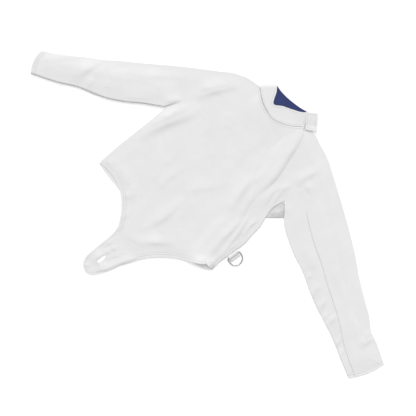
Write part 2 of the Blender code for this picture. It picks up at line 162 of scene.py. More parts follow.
SHOULDER_LEFT = [(122, 336), (140, 344), (160, 342), (197, 331), (233, 321), (265, 308)]
LEFT_FRONT_HEM = [(174, -216), (205, -203), (223, -204), (236, -201)]
LEFT_FRONT_TOP = [(100, 306), (122, 322), (140, 344), (160, 342), (197, 331), (233, 321), (265, 308)]
NECK_BACK = [(-74, 326), (-40, 315), (20, 310), (80, 319), (122, 336)]
HEM_BACK = [
    (-266, -219), (-236, -225), (-194, -230), (-150, -235), (0, -236), (150, -236), (189, -229), (219, -220),
    (237, -203),
]
COLLAR_FOLD = [(-74, 326), (-68, 340), (-56, 354), (-39, 370)]
COLLAR_FRONT_TOP = [
    (-39, 370), (-23, 351), (-12, 329), (-4, 318), (25, 334), (52, 347), (82, 364), (98, 380),
]
COLLAR_BACK_TOP = [(-39, 370), (-19, 366), (0, 364), (35, 366), (68, 371), (98, 380)]
COLLAR_END = [(127, 323), (113, 350), (98, 380)]
LINING_TOP = [(-35, 367), (-19, 364), (0, 363), (35, 365), (68, 370), (92, 376)]
LINING_LEFT = [(-46, 320), (-40, 345), (-35, 367)]
LINING_FOOT = [(-46, 320), (20, 313), (80, 322), (110, 335)]
TAB_INNER = [(130, 331), (90, 371)]
TAB_OUTER = [(160, 353), (121, 397)]
GUSSET_INNER = [(240, 38), (235, 81), (244, 110)]
GUSSET_OUTER = [(284, 81), (266, 102), (250, 116)]

# Right sleeve, armhole to cuff: outer and lower edge, share of the width to the front seam, depth of the
# cloth tucked under along that seam, and how far the section bows towards the cuff
RIGHT_SLEEVE = [
    # outer_x, outer_y, inner_x, inner_y, seam, tuck, bow
    (-133, 314, -242, 66, 0.0, 0, 0),
    (-165, 298, -250, 60, 0.0, 2, 0),
    (-205, 267, -257, 53, 0.0, 8, 0),
    (-275, 213, -277, 38, 0.0, 34, 0),
    (-362, 141, -310, 13, 0.0, 60, 0),
    (-412, 99, -346, -17, 0.0, 62, 0),
    (-457, 63, -391, -48, 0.0, 58, 0),
    (-490, 33, -436, -72, 0.0, 54, 0),
    (-531, 3, -487, -92, 0.0, 50, 0),
    (-584, -40, -549, -130, 0.0, 46, 2),
    (-657, -92, -629, -170, 0.0, 43, 9),
]
# Left sleeve, laid open with its front seam showing
LEFT_SLEEVE = [
    # outer_x, outer_y, inner_x, inner_y, seam, tuck, bow
    (265, 308, 284, 81, 0.33, 0, 0),
    (330, 274, 309, 60, 0.40, 0, 0),
    (398, 237, 346, 39, 0.38, 0, 0),
    (460, 202, 393, 18, 0.37, 0, 0),
    (520, 166, 447, 1, 0.36, 0, 0),
    (582, 123, 506, -27, 0.36, 0, 0),
    (641, 86, 566, -51, 0.35, 0, 0),
    (700, 52, 630, -71, 0.30, 0, 0),
    (745, 19, 688, -92, 0.22, 0, 0),
    (778, 7, 737, -114, 0.18, 0, 2),
    (848, -26, 798, -139, 0.17, 0, 8),
]
# Share of the sleeve over which its sections turn from the armhole's line to straight ones
HEAD_FADE = 0.35
# The back seam lies this far inside the outer edge, underneath
BACK_SEAM = 26.0
# The last point of a level stretch keeps this far from where the fold starts
FOLD_CLEAR = 0.5
# The front seam: how far its edges lap at each share of the sleeve, and how narrow its dip and painted shade
# are from one row to another. It is closest at the shoulder
SEAM_AT = [0.0, 0.2, 0.34, 0.62, 0.72, 0.86, 0.94]
SEAM_LAPS = [0.85, 0.85, 0.45, 0.3, 0.05, 0.05, 0.35]
SEAM_SCALES = [(24, 38, 3.0), (38, 46, 1.8), (46, 150, 0.9)]
# The upper layer stays up this far beyond the tucked cloth, then comes down over this distance
TUCK_CLEAR = 10.0
TUCK_SLOPE = 62.0
# Share of the sleeve over which the tuck opens from the flat head
TUCK_HEAD = 0.06
# The tucked layers lie this far inside the sleeve's lower edge, and the top one rounds over them within the
# distance given for each share of the sleeve
TUCK_INSET = 5.0
EDGE_AT = [0.0, 0.09, 0.13, 0.18, 0.58, 0.66, 0.72, 1.0]
EDGE_ROUNDS = [3.0, 2.5, 7.0, 2.5, 2.5, 10.0, 4.0, 4.0]
# The front rises to the collar within this distance of the neck, and along the neck from this X
NECK_CLEAR = 6.0
NECK_SLOPE = 95.0
NECK_RISE_FROM = -70.0
NECK_RISE_OVER = 30.0
# The collar front rises clear of the lining within this distance of its fold
FOLD_RISE = 9.0
# The tab is level over this share of its width, then falls to rest
TAB_LEVEL = 0.3
# The lower corner of the tab's free edge stands off by this much more, over this share of the tab's length
TAB_LIFT = 3.0
TAB_CURL = 1 / 3
# The neck seam is open by this much more at the right shoulder, closing towards the tab
NECK_OPEN = 2.0
NECK_OPEN_FROM = -30.0
NECK_OPEN_OVER = 120.0
# The warp's angle
COLLAR_GRAIN = 20.0
TAB_GRAIN = 45.0

# Crotch strap, as it lies below the front: its outline from the seam by the hole up the left side, along the
# front point and round the tip, then the hole's own outline from the same seam
STRAP_LEFT = [(-82, -436), (-80, -410), (-77, -385), (-74, -350), (-78, -320)]
STRAP_RIGHT = [
    (44, -351), (30, -379), (16, -406), (5, -438), (-11, -469), (-30, -494), (-48, -500), (-70, -490),
    (-82, -468), (-82, -436),
]
HOLE = [
    (-48, -434), (-46, -425), (-43, -417), (-39, -415), (-37, -420), (-36, -430), (-37, -441), (-40, -448),
    (-44, -450), (-49, -446), (-48, -434),
]
# Share of the hole's outline that faces each of these stretches: left side, front point, right side and tip
HOLE_SHARES = [0.0, 0.16, 0.42, 1.0]
# Its hidden run, back under the front to the back hem: (x, y) of its two edges
STRAP_RUN = [(-72, -372), (-70, -238), (-18, -238), (-20, -372)]
# The strap is as high as the front at their seam and falls to rest over this distance
STRAP_FALL = 62.0
# The row by the hole is this many times closer and finer than by a plain edge
HOLE_SCALE = 2.0

# D-ring: its bar turns in the loop, and its axis points away from the body
RING_CENTRE = (252.0, -122.5)
RING_TURN = math.radians(-8)
RING_WIRE = 4.5
RING_HALF_WIDTH = 23.0
RING_LEG = 12.0
RING_CORNER = 4.0
WIRE_ROUND = 6
# The ring's far end lies this far above the surface
RING_CLEAR = 0.05
BAR_HEIGHT = TAPE + SEAM_GAP + RING_WIRE / 2
TAPE_WIDTH = 34.0
TAPE_REACH = 13.0
TAPE_SEAM = -9.0
TAPE_START = 0.9
TAPE_GRAIN = -82.0
# The tape's way, outward from the bar: flat on the surface, round the turn at these angles, and back
TAPE_FLAT = (-2, 7)
TAPE_TURN = (-90, -30, 30, 90)
TAPE_BULGE = 1.6
TAPE_BACK = 8
TAPE_BACK_DROP = 3.6
# The tape's rise over the bar: how far to each side of it, and how far below the top
BAR_CROWN = [(4.8, 2.2), (2.4, 0.5), (0.6, 0.0)]

# The upper layer rests on the lower one at the silhouette and is loose inside it
LOOSE_HEIGHT = 1.6
LOOSE_OVER = 45.0
# Soft unevenness of the cloth: (height, size, seed)
UNEVEN = [(0.45, 70.0, 2.0), (0.22, 26.0, 7.0), (0.08, 9.0, 11.0)]
# The share of it that the silhouette keeps, and what raises it to lie mostly above the cloth's middle
UNEVEN_EDGE = 0.4
UNEVEN_RAISE = 0.3
# How finely a crease is followed, how many widths it reaches, the (share, pace) of the waves along it, and
# how bluntly it ends
CREASE_STEPS = 8
CREASE_REACH = 2.5
CREASE_WANDER = [(0.2, 5.3), (0.12, 13.1)]
CREASE_ENDS = 0.8

# Creases of the upper layer, along smooth lines through their places, steep on the left of the way they run
CREASES = [
    # places, height, steep width, gentle width
    ([(-177, 146), (-168, 110), (-187, 66), (-207, 22), (-225, -28), (-240, -96)], 4.2, 15, 34),
    ([(-190, 126), (-206, 70), (-225, 20), (-240, -30)], 1.6, 8, 16),
    ([(-206, 92), (-221, 48), (-236, 22)], 1.4, 6, 12),
    ([(98, 164), (106, 112), (121, 54), (144, -30)], 2.9, 11, 28),
    ([(146, 90), (158, 40), (166, -10)], 1.0, 9, 14),
    ([(-60, -30), (-70, -68), (-75, -101), (-70, -138)], 1.4, 10, 20),
    ([(74, 42), (42, -18), (6, -68), (2, -112)], 1.1, 14, 24),
    ([(6, -100), (8, -150), (4, -205), (-24, -284)], 2.4, 11, 22),
    ([(92, -226), (66, -250), (30, -282), (-2, -300)], 2.4, 9, 20),
    ([(40, -292), (6, -310), (-30, -318)], 1.2, 7, 14),
    ([(-60, 150), (-72, 176), (-92, 196)], 0.9, 12, 16),
    ([(-110, -20), (-112, -46), (-110, -76)], 0.8, 9, 14),
    # the hem gapes at the foot of the closure
    ([(166, -236), (195, -219), (208, -208), (236, -200)], 12.0, 22, 16),
    # hem by the right side
    ([(-149, -205), (-173, -194), (-213, -181)], 1.6, 9, 16),
    ([(-136, -180), (-128, -196), (-112, -216)], 1.4, 7, 12),
    ([(-104, -214), (-122, -226), (-138, -240)], 1.2, 7, 12),
    ([(-90, -254), (-84, -278), (-88, -298)], 1.0, 7, 12),
    # armhole of the right sleeve
    ([(-122, 284), (-146, 246), (-176, 196), (-196, 150)], 2.7, 11, 22),
    ([(-160, 262), (-180, 222), (-212, 176)], 1.6, 9, 18),
    ([(-226, 120), (-244, 92), (-262, 62)], 2.0, 8, 14),
    # right sleeve
    ([(-492, 32), (-507, -22), (-511, -60), (-498, -90)], 3.0, 11, 24),
    ([(-478, -38), (-470, -54), (-462, -72)], 1.4, 6, 9),
    ([(-437, -4), (-428, -18), (-420, -30)], 1.1, 6, 9),
    ([(-300, 150), (-366, 92), (-430, 44)], 0.9, 14, 26),
    ([(-292, 56), (-330, 20), (-372, -12)], 1.0, 9, 18),
    ([(-560, -30), (-600, -70), (-632, -110)], 1.0, 9, 16),
    # by the closure and the left side
    ([(122, 330), (139, 281), (152, 222), (166, 150), (166, 90)], 3.8, 8, 24),
    ([(206, 150), (198, 112), (206, 74), (214, 50)], 1.8, 7, 14),
    ([(222, 176), (216, 136), (222, 96), (230, 66)], 2.0, 7, 12),
    ([(168, 74), (172, 20), (188, -24)], 1.4, 7, 12),
    ([(190, -10), (191, -60), (192, -110), (196, -160), (204, -204)], 2.6, 8, 18),
    ([(196, 6), (210, -50), (219, -104), (223, -150), (220, -196)], 2.3, 6, 9),
    ([(226, 22), (224, -18), (232, -58)], 1.6, 5, 10),
    ([(234, -84), (230, -126), (231, -160)], 1.6, 5, 8),
    # left sleeve
    ([(256, 280), (244, 246), (236, 208), (240, 178)], 2.4, 10, 18),
    ([(288, 196), (266, 204), (250, 212)], 1.4, 8, 14),
    ([(470, 120), (516, 80), (600, 34)], 1.6, 12, 24),
    ([(424, 72), (446, 50), (470, 30)], 1.5, 7, 12),
    ([(478, 16), (476, 0), (478, -18)], 1.3, 5, 9),
    ([(519, 16), (521, -14), (532, -44)], 1.8, 7, 13),
    ([(564, -4), (571, -36), (588, -68)], 2.0, 7, 13),
    ([(602, -24), (604, -50), (612, -74)], 1.2, 6, 10),
    ([(628, -22), (628, -56), (636, -82)], 1.9, 7, 12),
    ([(683, -56), (692, -80), (698, -106)], 1.7, 6, 11),
    ([(720, -78), (727, -104), (742, -128)], 1.5, 6, 11),
    ([(640, 20), (700, -8), (748, -44)], 1.2, 9, 18),
    ([(736, 18), (750, -10), (757, -48)], 2.2, 8, 14),
    ([(762, 8), (762, -8), (764, -26)], 2.0, 4, 8),
]

# Creases of the cloth that lies underneath, lifting what is above them too
UNDER_CREASES = [
    ([(-150, 210), (-100, 120), (-60, 20)], 0.9, 12, 18),
    ([(60, 230), (40, 130), (60, 40)], 0.7, 14, 20),
    ([(-190, -20), (-120, -90), (-90, -180)], 0.9, 10, 18),
    ([(150, 180), (120, 60), (140, -60)], 0.8, 12, 22),
    ([(0, -60), (40, -130), (30, -200)], 0.7, 12, 18),
    ([(-420, 90), (-470, 20), (-480, -50)], 0.8, 9, 16),
    ([(-250, 190), (-330, 120), (-390, 40)], 0.6, 12, 20),
    ([(330, 200), (420, 130), (470, 60)], 0.8, 12, 20),
    ([(560, 90), (620, 30), (700, -30)], 0.7, 12, 18),
    # strap
    ([(-38, -430), (-62, -437), (-92, -440)], 2.8, 26, 17),
    ([(-16, -434), (-30, -449), (-50, -454)], 1.6, 6, 10),
    ([(44, -330), (36, -354), (22, -380), (9, -407), (-4, -439), (-22, -466), (-44, -486)], 2.2, 5, 14),
    ([(-30, -398), (-44, -404), (-54, -414)], 1.2, 5, 8),
    ([(-30, -372), (-44, -392), (-46, -412)], 1.5, 6, 10),
    ([(-10, -384), (-24, -404), (-30, -424)], 1.0, 6, 10),
    ([(-4, -440), (-22, -456), (-44, -462)], 1.6, 7, 12),
    ([(-50, -362), (-64, -384), (-70, -404)], 1.0, 6, 9),
    ([(-52, -470), (-62, -482), (-72, -484)], 1.0, 6, 8),
    # gusset
    ([(262, 96), (256, 76), (254, 56)], 1.2, 3, 7),
    ([(274, 84), (264, 72), (262, 62)], 0.9, 3, 6),
    ([(250, 80), (247, 66), (249, 52)], 0.8, 3, 5),
]

# Colours, and the cotton's weave
COTTON_WEAVE = {"thread": 0.75, "relief": 0.10, "roughness": 0.92, "sheen": 0.12}
COTTON = (0.755, 0.755, 0.755)
# The gusset's grey is painted shade of the recessed armpit, put into its cotton's colour
GUSSET_PAINTED_SHADE = (0.70, 0.70, 0.70)
THREAD_WHITE = (0.76, 0.76, 0.75)
LINING_BLUE = (0.030, 0.045, 0.150)
TAPE_WHITE = (0.72, 0.72, 0.72)
STEEL = (0.60, 0.60, 0.61)
FLOOR = (0.97, 0.97, 0.97)

# Stitching
THREAD = 0.6
STITCH = 2.5
STITCH_PITCH = 3.4
TOPSTITCH = 6.0
HEM_ROWS = (8.0, 15.0)
# The lines that the front hem's rows follow, and the steps along each
HEM_LINES = ((HEM_RIGHT, 60), (FRONT_POINT, ROOT_STEPS), (HEM_LEFT, 50))
ROW_STEPS = 80
COLLAR_ROW_STEPS = 60
# A stitch: share of its length, and how far it stands proud there. It is left out where the cloth steps
STITCH_SHAPE = [(-0.5, -0.12), (-0.28, 0.2), (0.28, 0.2), (0.5, -0.12)]
# by more than this
STITCH_STEP = 1.5
# A height above and below everything, from which the cloth's surface is looked for
CLEAR_OF_ALL = 80
# How far a row of stitches, its puckers, the step of a hem's fold and the dip of a seam reach; the rows and
# seams carry painted shade this far too
STITCH_PULL = 1.1
PUCKER_OVER = 24
FOLD_SOFT = 0.6
SEAM_OVER = 2.2
# Distances from lines are not told apart beyond this
FAR = 60.0
# The plain crossing's share in the weave, against the twill's
PLAIN_SHARE = 0.6

# Light and camera
SKY_LIGHT = 0.52
LAMP_LIGHTS = {"softbox": 1.5, "reflector": 1.2}
LAMP_SPREAD = 50.0
LAMP_FROM = (-0.64, 0.68, 0.95)
FLOOR_HALF = 6.0
FLOOR_DROP = 0.6
LENS = 85.0
SENSOR = 36.0
CAMERA_REACH = 20.0
VIEW_CENTRE = (85.7, -71.9)
VIEW_WIDTH = 1352.0
VIEW_TURN = 45.0


def travelled(line):
    """Distance along a line to each of its points."""
    return np.concatenate([[0], np.cumsum(np.linalg.norm(np.diff(line, axis=0), axis=1))])


def smooth_line(points, steps):
    """Points at even steps along the smooth curve (cubic, through every given point)."""
    knots = np.array(points, float)
    if len(knots) == 2:
        knots = np.array([knots[0], knots.mean(axis=0), knots[1]])
    chord = np.linalg.norm(np.diff(knots, axis=0), axis=1)
    tangents = np.gradient(knots, travelled(knots), axis=0)
    fine = []
    for index, length in enumerate(chord):
        for part in np.linspace(0, 1, CURVE_PARTS + 1)[:-1]:
            square, cube = part**2, part**3
            fine.append(
                (2 * cube - 3 * square + 1) * knots[index]
                + (cube - 2 * square + part) * length * tangents[index]
                + (3 * square - 2 * cube) * knots[index + 1]
                + (cube - square) * length * tangents[index + 1]
            )
    fine = np.array(fine + [knots[-1]])
    reach = travelled(fine)
    wanted = np.linspace(0, reach[-1], steps + 1)
    return np.column_stack([np.interp(wanted, reach, fine[:, axis]) for axis in range(fine.shape[1])])


def lines_of(steps, *tables):
    """Several smooth lines with the same number of steps."""
    return [smooth_line(table, steps) for table in tables]


def joined(*lines):
    """One line from several that follow each other."""
    return np.concatenate([lines[0]] + [line[1:] for line in lines[1:]])


def offset(line, distance):
    """The line moved sideways, to its left for a positive distance."""
    along = np.gradient(line, axis=0)
    along /= np.linalg.norm(along, axis=1)[:, None]
    return line + distance * np.column_stack([-along[:, 1], along[:, 0]])


def filled(bottom, top, left, right):
    """Rows of points that fill four edge lines with shared corners (a Coons patch)."""
    across = np.linspace(0, 1, len(bottom))[None, :, None]
    up = np.linspace(0, 1, len(left))[:, None, None]
    between_ends = (1 - up) * bottom[None] + up * top[None]
    between_sides = (1 - across) * left[:, None] + across * right[:, None]
    corners = (1 - up) * ((1 - across) * bottom[0] + across * bottom[-1]) + up * (
        (1 - across) * top[0] + across * top[-1]
    )
    return between_ends + between_sides - corners


def smoothstep(value):
    value = np.clip(value, 0, 1)
    return value * value * (3 - 2 * value)


def distance_to(line, places):
    """Distance from each place to a polyline."""
    best = np.full(places.shape[:-1], np.inf)
    for start, end in zip(line[:-1], line[1:]):
        run = end - start
        share = np.clip(((places - start) @ run) / (run @ run), 0, 1)
        best = np.minimum(best, np.linalg.norm(places - start - share[..., None] * run, axis=-1))
    return best


def upper_height(runs, tuck, opened):
    """Height of the upper layer's middle: over the tucked cloth, then down to one layer."""
    stacked = 2 * LAYER_STEP * (1 - smoothstep((runs - tuck - TUCK_CLEAR) / TUCK_SLOPE))
    return UPPER_MID + (stacked * opened if tuck > 0 else 0 * runs)


def beside(line, places):
    """For each place: how far it is to the left of the line, how far away, and how far along (0 to 1)."""
    away = np.full(len(places), np.inf)
    left, along = np.zeros(len(places)), np.zeros(len(places))
    reach = travelled(line)
    for index, run in enumerate(np.linalg.norm(np.diff(line, axis=0), axis=1)):
        step = (line[index + 1] - line[index]) / run
        apart = places - line[index]
        gone = np.clip(apart @ step, 0, run)
        distance = np.linalg.norm(apart - gone[:, None] * step, axis=1)
        nearer = distance < away
        away = np.where(nearer, distance, away)
        left = np.where(nearer, step[0] * apart[:, 1] - step[1] * apart[:, 0], left)
        along = np.where(nearer, (reach[index] + gone) / reach[-1], along)
    return left, away, along


def crease_height(places, creases):
    """Height that the creases add, each tapering to its ends with a slow unevenness along it."""
    height = np.zeros(len(places))
    for points, top, steep, gentle in creases:
        line = smooth_line(points, CREASE_STEPS * (len(points) - 1))
        reach = CREASE_REACH * max(steep, gentle)
        near = np.all((places > line.min(axis=0) - reach) & (places < line.max(axis=0) + reach), axis=1)
        if not near.any():
            continue
        left, away, along = beside(line, places[near])
        width = np.where(left > 0, steep, gentle)
        wander = 1
        for (share, pace), start in zip(CREASE_WANDER, points[0]):
            wander = wander + share * np.sin(pace * along + start)
        ends = np.sin(math.pi * np.clip(along, 0.01, 0.99)) ** CREASE_ENDS
        height[near] += top * wander * ends * np.exp(-((away / width) ** 2))
    return height


def silhouette():
    """The outline that the upper layer rests on."""
    lines = [SIDE_RIGHT, HEM_RIGHT, FRONT_POINT, HEM_LEFT, SIDE_LEFT, SHOULDER_RIGHT, SHOULDER_LEFT]
    for table in np.array(RIGHT_SLEEVE, float), np.array(LEFT_SLEEVE, float):
        lines += [table[:, 0:2], table[:, 2:4], (table[-1, 0:2], table[-1, 2:4])]
    return lines_of(OUTLINE_STEPS, *lines)


def loosened(points):
    """The cloth's middle, lifted by its looseness, creases and unevenness."""
    flat = points.reshape(-1, 3)
    places = flat[:, :2]
    upper = np.clip((flat[:, 2] - UNDER_MID) / LAYER_STEP, 0, 1)
    edge = np.min([distance_to(line, places) for line in OUTLINE], axis=0)
    inside = smoothstep(edge / LOOSE_OVER)
    lift = LOOSE_HEIGHT * inside + crease_height(places, CREASES)
    for height, size, seed in UNEVEN:
        soft = np.array([noise.noise((x / size, y / size, seed)) for x, y in places])
        lift += height * (UNEVEN_EDGE + (1 - UNEVEN_EDGE) * inside) * (soft + UNEVEN_RAISE)
    flat[:, 2] += crease_height(places, UNDER_CREASES) + upper * lift
    return points


def raised(places, heights):
    """Places with their heights beside them."""
    return np.concatenate([places, np.broadcast_to(heights, places.shape[:-1])[..., None]], axis=-1)


def linked(name, mesh):
    made = bpy.data.objects.new(name, mesh)
    bpy.context.scene.collection.objects.link(made)
    return made


def finished(piece):
    """The piece with its modifiers made part of its mesh."""
    graph = bpy.context.evaluated_depsgraph_get()
    mesh = bpy.data.meshes.new_from_object(
        piece.evaluated_get(graph), preserve_all_data_layers=True, depsgraph=graph
    )
    name = piece.name
    bpy.data.objects.remove(piece, do_unlink=True)
    mesh.name = name
    return linked(name, mesh)


def held(grid):
    """The grid with one more row and column close inside each edge, so the rim's roundness stays narrow."""
    for _ in range(2):
        for end, inner, at in ((0, 1, 1), (-1, -2, -1)):
            run = np.linalg.norm(grid[inner] - grid[end], axis=-1).max()
            row = grid[end] + min(EDGE_HOLD / run, 0.5) * (grid[inner] - grid[end])
            grid = np.insert(grid, at if at > 0 else len(grid) - 1, row, axis=0)
        grid = grid.swapaxes(0, 1)
    return grid


def shell(name, grid, thickness, finish, grain=0.0, rows=(), hems=(), seams=(), settle=True):
    """A cloth shell: a fine grid of middle points given its thickness and softly rounded edges.

    grain is the warp's angle from Y. rows, hems and seams are the lines that the shell is topstitched
    beside, hemmed along and pulled down to, each with a scale for its distances. The cloth's finish reads
    the distances, and paints shade along the stitch rows and beside the seams.
    """
    grid = held(grid)
    rows_of_points, columns = grid.shape[:2]
    shape = bmesh.new()
    bmesh.ops.create_grid(shape, x_segments=columns - 1, y_segments=rows_of_points - 1, size=1)
    settled = loosened(grid.copy()) if settle else grid
    for vertex in shape.verts:
        column = round((vertex.co.x + 1) / 2 * (columns - 1))
        row = round((vertex.co.y + 1) / 2 * (rows_of_points - 1))
        vertex.co = settled[row, column] * MM
    mesh = bpy.data.meshes.new(name)
    shape.to_mesh(mesh)
    shape.free()
    mesh.materials.append(finish)
    mesh.shade_smooth()
    piece = linked(name, mesh)
    wall = piece.modifiers.new("thickness", "SOLIDIFY")
    wall.thickness = thickness * MM
    wall.offset = 0
    rim = piece.modifiers.new("rim", "BEVEL")
    rim.limit_method = "ANGLE"
    rim.angle_limit = math.radians(RIM_ANGLE)
    rim.width = RIM_SHARE * thickness * MM
    rim.segments = RIM_SEGMENTS
    piece = finished(piece)
    mesh = piece.data
    co = np.zeros(3 * len(mesh.vertices))
    mesh.vertices.foreach_get("co", co)
    places = co.reshape(-1, 3)[:, :2] / MM
    for kind, lines in (("stitch_row", rows), ("hem", hems), ("seam", seams)):
        away = np.full(len(places), FAR)
        for line, *scale in lines:
            away = np.minimum(away, distance_to(line, places) * (scale[0] if scale else 1))
        mesh.attributes.new(kind, "FLOAT", "POINT").data.foreach_set("value", away * MM)
    corner = np.zeros(len(mesh.loops), int)
    mesh.loops.foreach_get("vertex_index", corner)
    turn = math.radians(grain)
    along = places @ np.array([[math.cos(turn), -math.sin(turn)], [math.sin(turn), math.cos(turn)]])
    weave = mesh.uv_layers.new(name="grain")
    weave.data.foreach_set("uv", (along * MM)[corner].ravel())
    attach(piece, "jacket")
    return piece


def armhole_left():
    """The left armhole from the armpit up: gusset stretch, low stretch to the front seam, high stretch."""
    return joined(
        smooth_line(ARMPIT_LEFT, GUSSET_STEPS),
        smooth_line(ARMHOLE_LEFT_LOW, GUSSET_STEPS),
        smooth_line(ARMHOLE_LEFT_HIGH, ARMHOLE_STEPS - GUSSET_STEPS),
    )


def swelled(places):
    """1 below the chest, 0 above it."""
    return 1 - smoothstep((places[..., 1] - SWELL_TOP) / SWELL_FADE)


def neck_lift(places):
    """The front rises to the collar's height along the neck, except by the right shoulder."""
    away = distance_to(smooth_line(NECK_FRONT, EDGE_STEPS), places)
    near = 1 - smoothstep((away - NECK_CLEAR) / NECK_SLOPE)
    return OVERLAP_LIFT * near * smoothstep((places[..., 0] - NECK_RISE_FROM) / NECK_RISE_OVER)


def closure_lift(places):
    """The front rises over the left front's underlap, and its edge rolls down beside it."""
    away = distance_to(smooth_line(CLOSURE, EDGE_STEPS), places)
    low = np.where(places[..., 1] > SWELL_TOP, 1 - swelled(places), 0) * (CLOTH + SEAM_GAP - EDGE_LIFT)
    rolled = (OVERLAP_LIFT - EDGE_LIFT - low) * (1 - smoothstep(away / EDGE_ROLL))
    return OVERLAP_LIFT * (1 - smoothstep((away - LAP_WIDTH - LAP_CLEAR) / LAP_SLOPE)) - rolled


def front_panel(finish):
    """The wide front, from the right side seam to the closure."""
    side, armhole = smooth_line(SIDE_RIGHT, SIDE_STEPS), smooth_line(ARMHOLE_RIGHT, ARMHOLE_STEPS)
    neck, closure = smooth_line(NECK_FRONT, NECK_STEPS), smooth_line(CLOSURE, SIDE_STEPS + ARMHOLE_STEPS)
    top = joined(smooth_line(SHOULDER_RIGHT, SHOULDER_STEPS), neck, smooth_line(NECK_LAP, LAP_STEPS))
    hem_right, hem_left = smooth_line(HEM_RIGHT, HEM_RIGHT_STEPS), smooth_line(HEM_LEFT, HEM_LEFT_STEPS)
    hem = joined(hem_right, smooth_line(FRONT_POINT, POINT_STEPS), hem_left)
    places = filled(hem, top, joined(side, armhole), closure)
    heights = UPPER_MID + np.maximum(neck_lift(places), closure_lift(places))
    return shell(
        "front", raised(places, heights), CLOTH, finish,
        rows=[(neck,)], hems=[(hem_right,), (hem_left,)], seams=[(neck, NECK_SCALE), (side,)],
    )


def left_front_panel(finish):
    """The narrow left front: its underlap, then what shows beyond the closure."""
    closure = smooth_line(CLOSURE, SIDE_STEPS + ARMHOLE_STEPS)
    left = closure - np.array([LAP_WIDTH, 0])
    left[0], left[-1] = LEFT_FRONT_HEM[0], LEFT_FRONT_TOP[0]
    hem, top = lines_of(LEFT_FRONT_STEPS, LEFT_FRONT_HEM, LEFT_FRONT_TOP)
    under, beyond = closure - np.array([LAP_END, 0]), closure + np.array([SEEN_START, 0])
    for line, end in ((hem, 0), (top, -1)):
        corner = line[np.argmin(np.linalg.norm(line - closure[end], axis=1))]
        under[end], beyond[end] = corner - np.array([LAP_END + SEEN_START, 0]), corner
    lap = filled(*lines_of(LAP_COLUMNS, [left[0], under[0]], [left[-1], under[-1]]), left, under)
    side = joined(smooth_line(SIDE_LEFT, SIDE_STEPS), armhole_left()[GUSSET_STEPS:])
    ends = lines_of(SEEN_COLUMNS, [beyond[0], *LEFT_FRONT_HEM[2:]], [beyond[-1], *LEFT_FRONT_TOP[3:]])
    seen = filled(*ends, beyond, side)
    closed = smooth_line(CLOSURE, CLOSURE_STEPS)
    dip = -DIP * (1 - smoothstep(distance_to(closed, lap) / DIP_OVER)) * swelled(lap)
    swell = EDGE_LIFT * (1 - smoothstep(distance_to(closed, seen) / SWELL_OVER)) * swelled(seen)
    places = np.concatenate([raised(lap, UPPER_MID + dip), raised(seen, UPPER_MID + swell)], axis=1)
    return shell(
        "left_front", places, CLOTH, finish, hems=[(hem,)], seams=[(smooth_line(SIDE_LEFT, EDGE_STEPS),)]
    )


def back_panel(finish):
    """The back, which the rest lies on."""
    side_right, side_left = lines_of(SIDE_STEPS, SIDE_RIGHT, SIDE_LEFT)
    left = joined(side_right, smooth_line(ARMHOLE_RIGHT, ARMHOLE_STEPS))
    right = joined(side_left, armhole_left()[GUSSET_STEPS:])
    top = joined(
        smooth_line(SHOULDER_RIGHT, SHOULDER_STEPS), smooth_line(NECK_BACK, NECK_BACK_STEPS),
        smooth_line(SHOULDER_LEFT, SHOULDER_LEFT_STEPS),
    )
    hem = smooth_line(HEM_BACK, len(top) - 1)
    left[0], right[0] = hem[0], hem[-1]
    return shell(
        "back", raised(filled(hem, top, left, right), UNDER_MID), CLOTH, finish,
        hems=[(hem,)], seams=[(left,), (right,), (top,)],
    )


def gusset(finish):
    """The diamond in the left armpit, between the back and the under sleeve."""
    inner, outer = (
        joined(*lines_of(GUSSET_STEPS, side[:2], side[1:])) for side in (GUSSET_INNER, GUSSET_OUTER)
    )
    foot, head = lines_of(GUSSET_ACROSS, [inner[0], outer[0]], [inner[-1], outer[-1]])
    places = filled(foot, head, inner, outer)
    return shell("gusset", raised(places, UNDER_MID), CLOTH, finish, seams=[(inner,), (outer,), (foot,)])


def sleeve_sections(table, armhole, seam_step):
    """Rows of places across the sleeve, from its inner to its outer edge, and each row's tuck."""
    rows = smooth_line(table, SLEEVE_ROWS)
    across = len(armhole) - 1
    first = None
    sections = []
    for index, row in enumerate(rows):
        outer, inner, seam, bow = row[0:2], row[2:4], row[4], row[6]
        if seam_step:
            share = np.interp(range(across + 1), [0, seam_step, across], [0, seam, 1])
        else:
            share = np.linspace(0, 1, across + 1)
        straight = inner + share[:, None] * (outer - inner)
        outward = np.array([outer[1] - inner[1], inner[0] - outer[0]]) / np.linalg.norm(outer - inner)
        outward *= np.sign(outward[0]) * np.sign(outer[0])
        straight = straight + 4 * bow * (share * (1 - share))[:, None] * outward
        if first is None:
            first = armhole - straight
        fade = 1 - smoothstep(index / SLEEVE_ROWS / HEAD_FADE)
        sections.append(straight + fade * first)
    return np.array(sections), rows[:, 5]


def by_row():
    """For each row of a sleeve: how far the tuck has opened, the seam's lap, the edge's roundness."""
    rows = np.linspace(0, 1, SLEEVE_ROWS + 1)
    laps, rounds = np.interp(rows, SEAM_AT, SEAM_LAPS), np.interp(rows, EDGE_AT, EDGE_ROUNDS)
    return smoothstep(rows / TUCK_HEAD), laps, rounds


def half_turn(centre, height, radius, start, end):
    """Points round a fold, as (run, height), between two angles in degrees."""
    angles = np.radians(np.linspace(start, end, FOLD_STEPS + 1))
    return np.column_stack([centre + radius * np.cos(angles), height + radius * np.sin(angles)])


def level(start, end, height, steps):
    """Points between two runs at one height, without the first."""
    return np.column_stack([np.linspace(start, end, steps + 1)[1:], np.full(steps, height)])


def placed(section, profile):
    """Turns (run, height) points across one section into places."""
    runs = travelled(section)
    x, y = (np.interp(profile[:, 0], runs, section[:, axis]) for axis in (0, 1))
    return np.column_stack([x, y, profile[:, 1]])


def head_shift(heights):
    """The sleeve's head keeps inside the jacket where it goes under the body's edge."""
    return np.where(heights > UNDER_MID + LAYER_STEP / 2, -HEAD_DROP, HEAD_DROP)


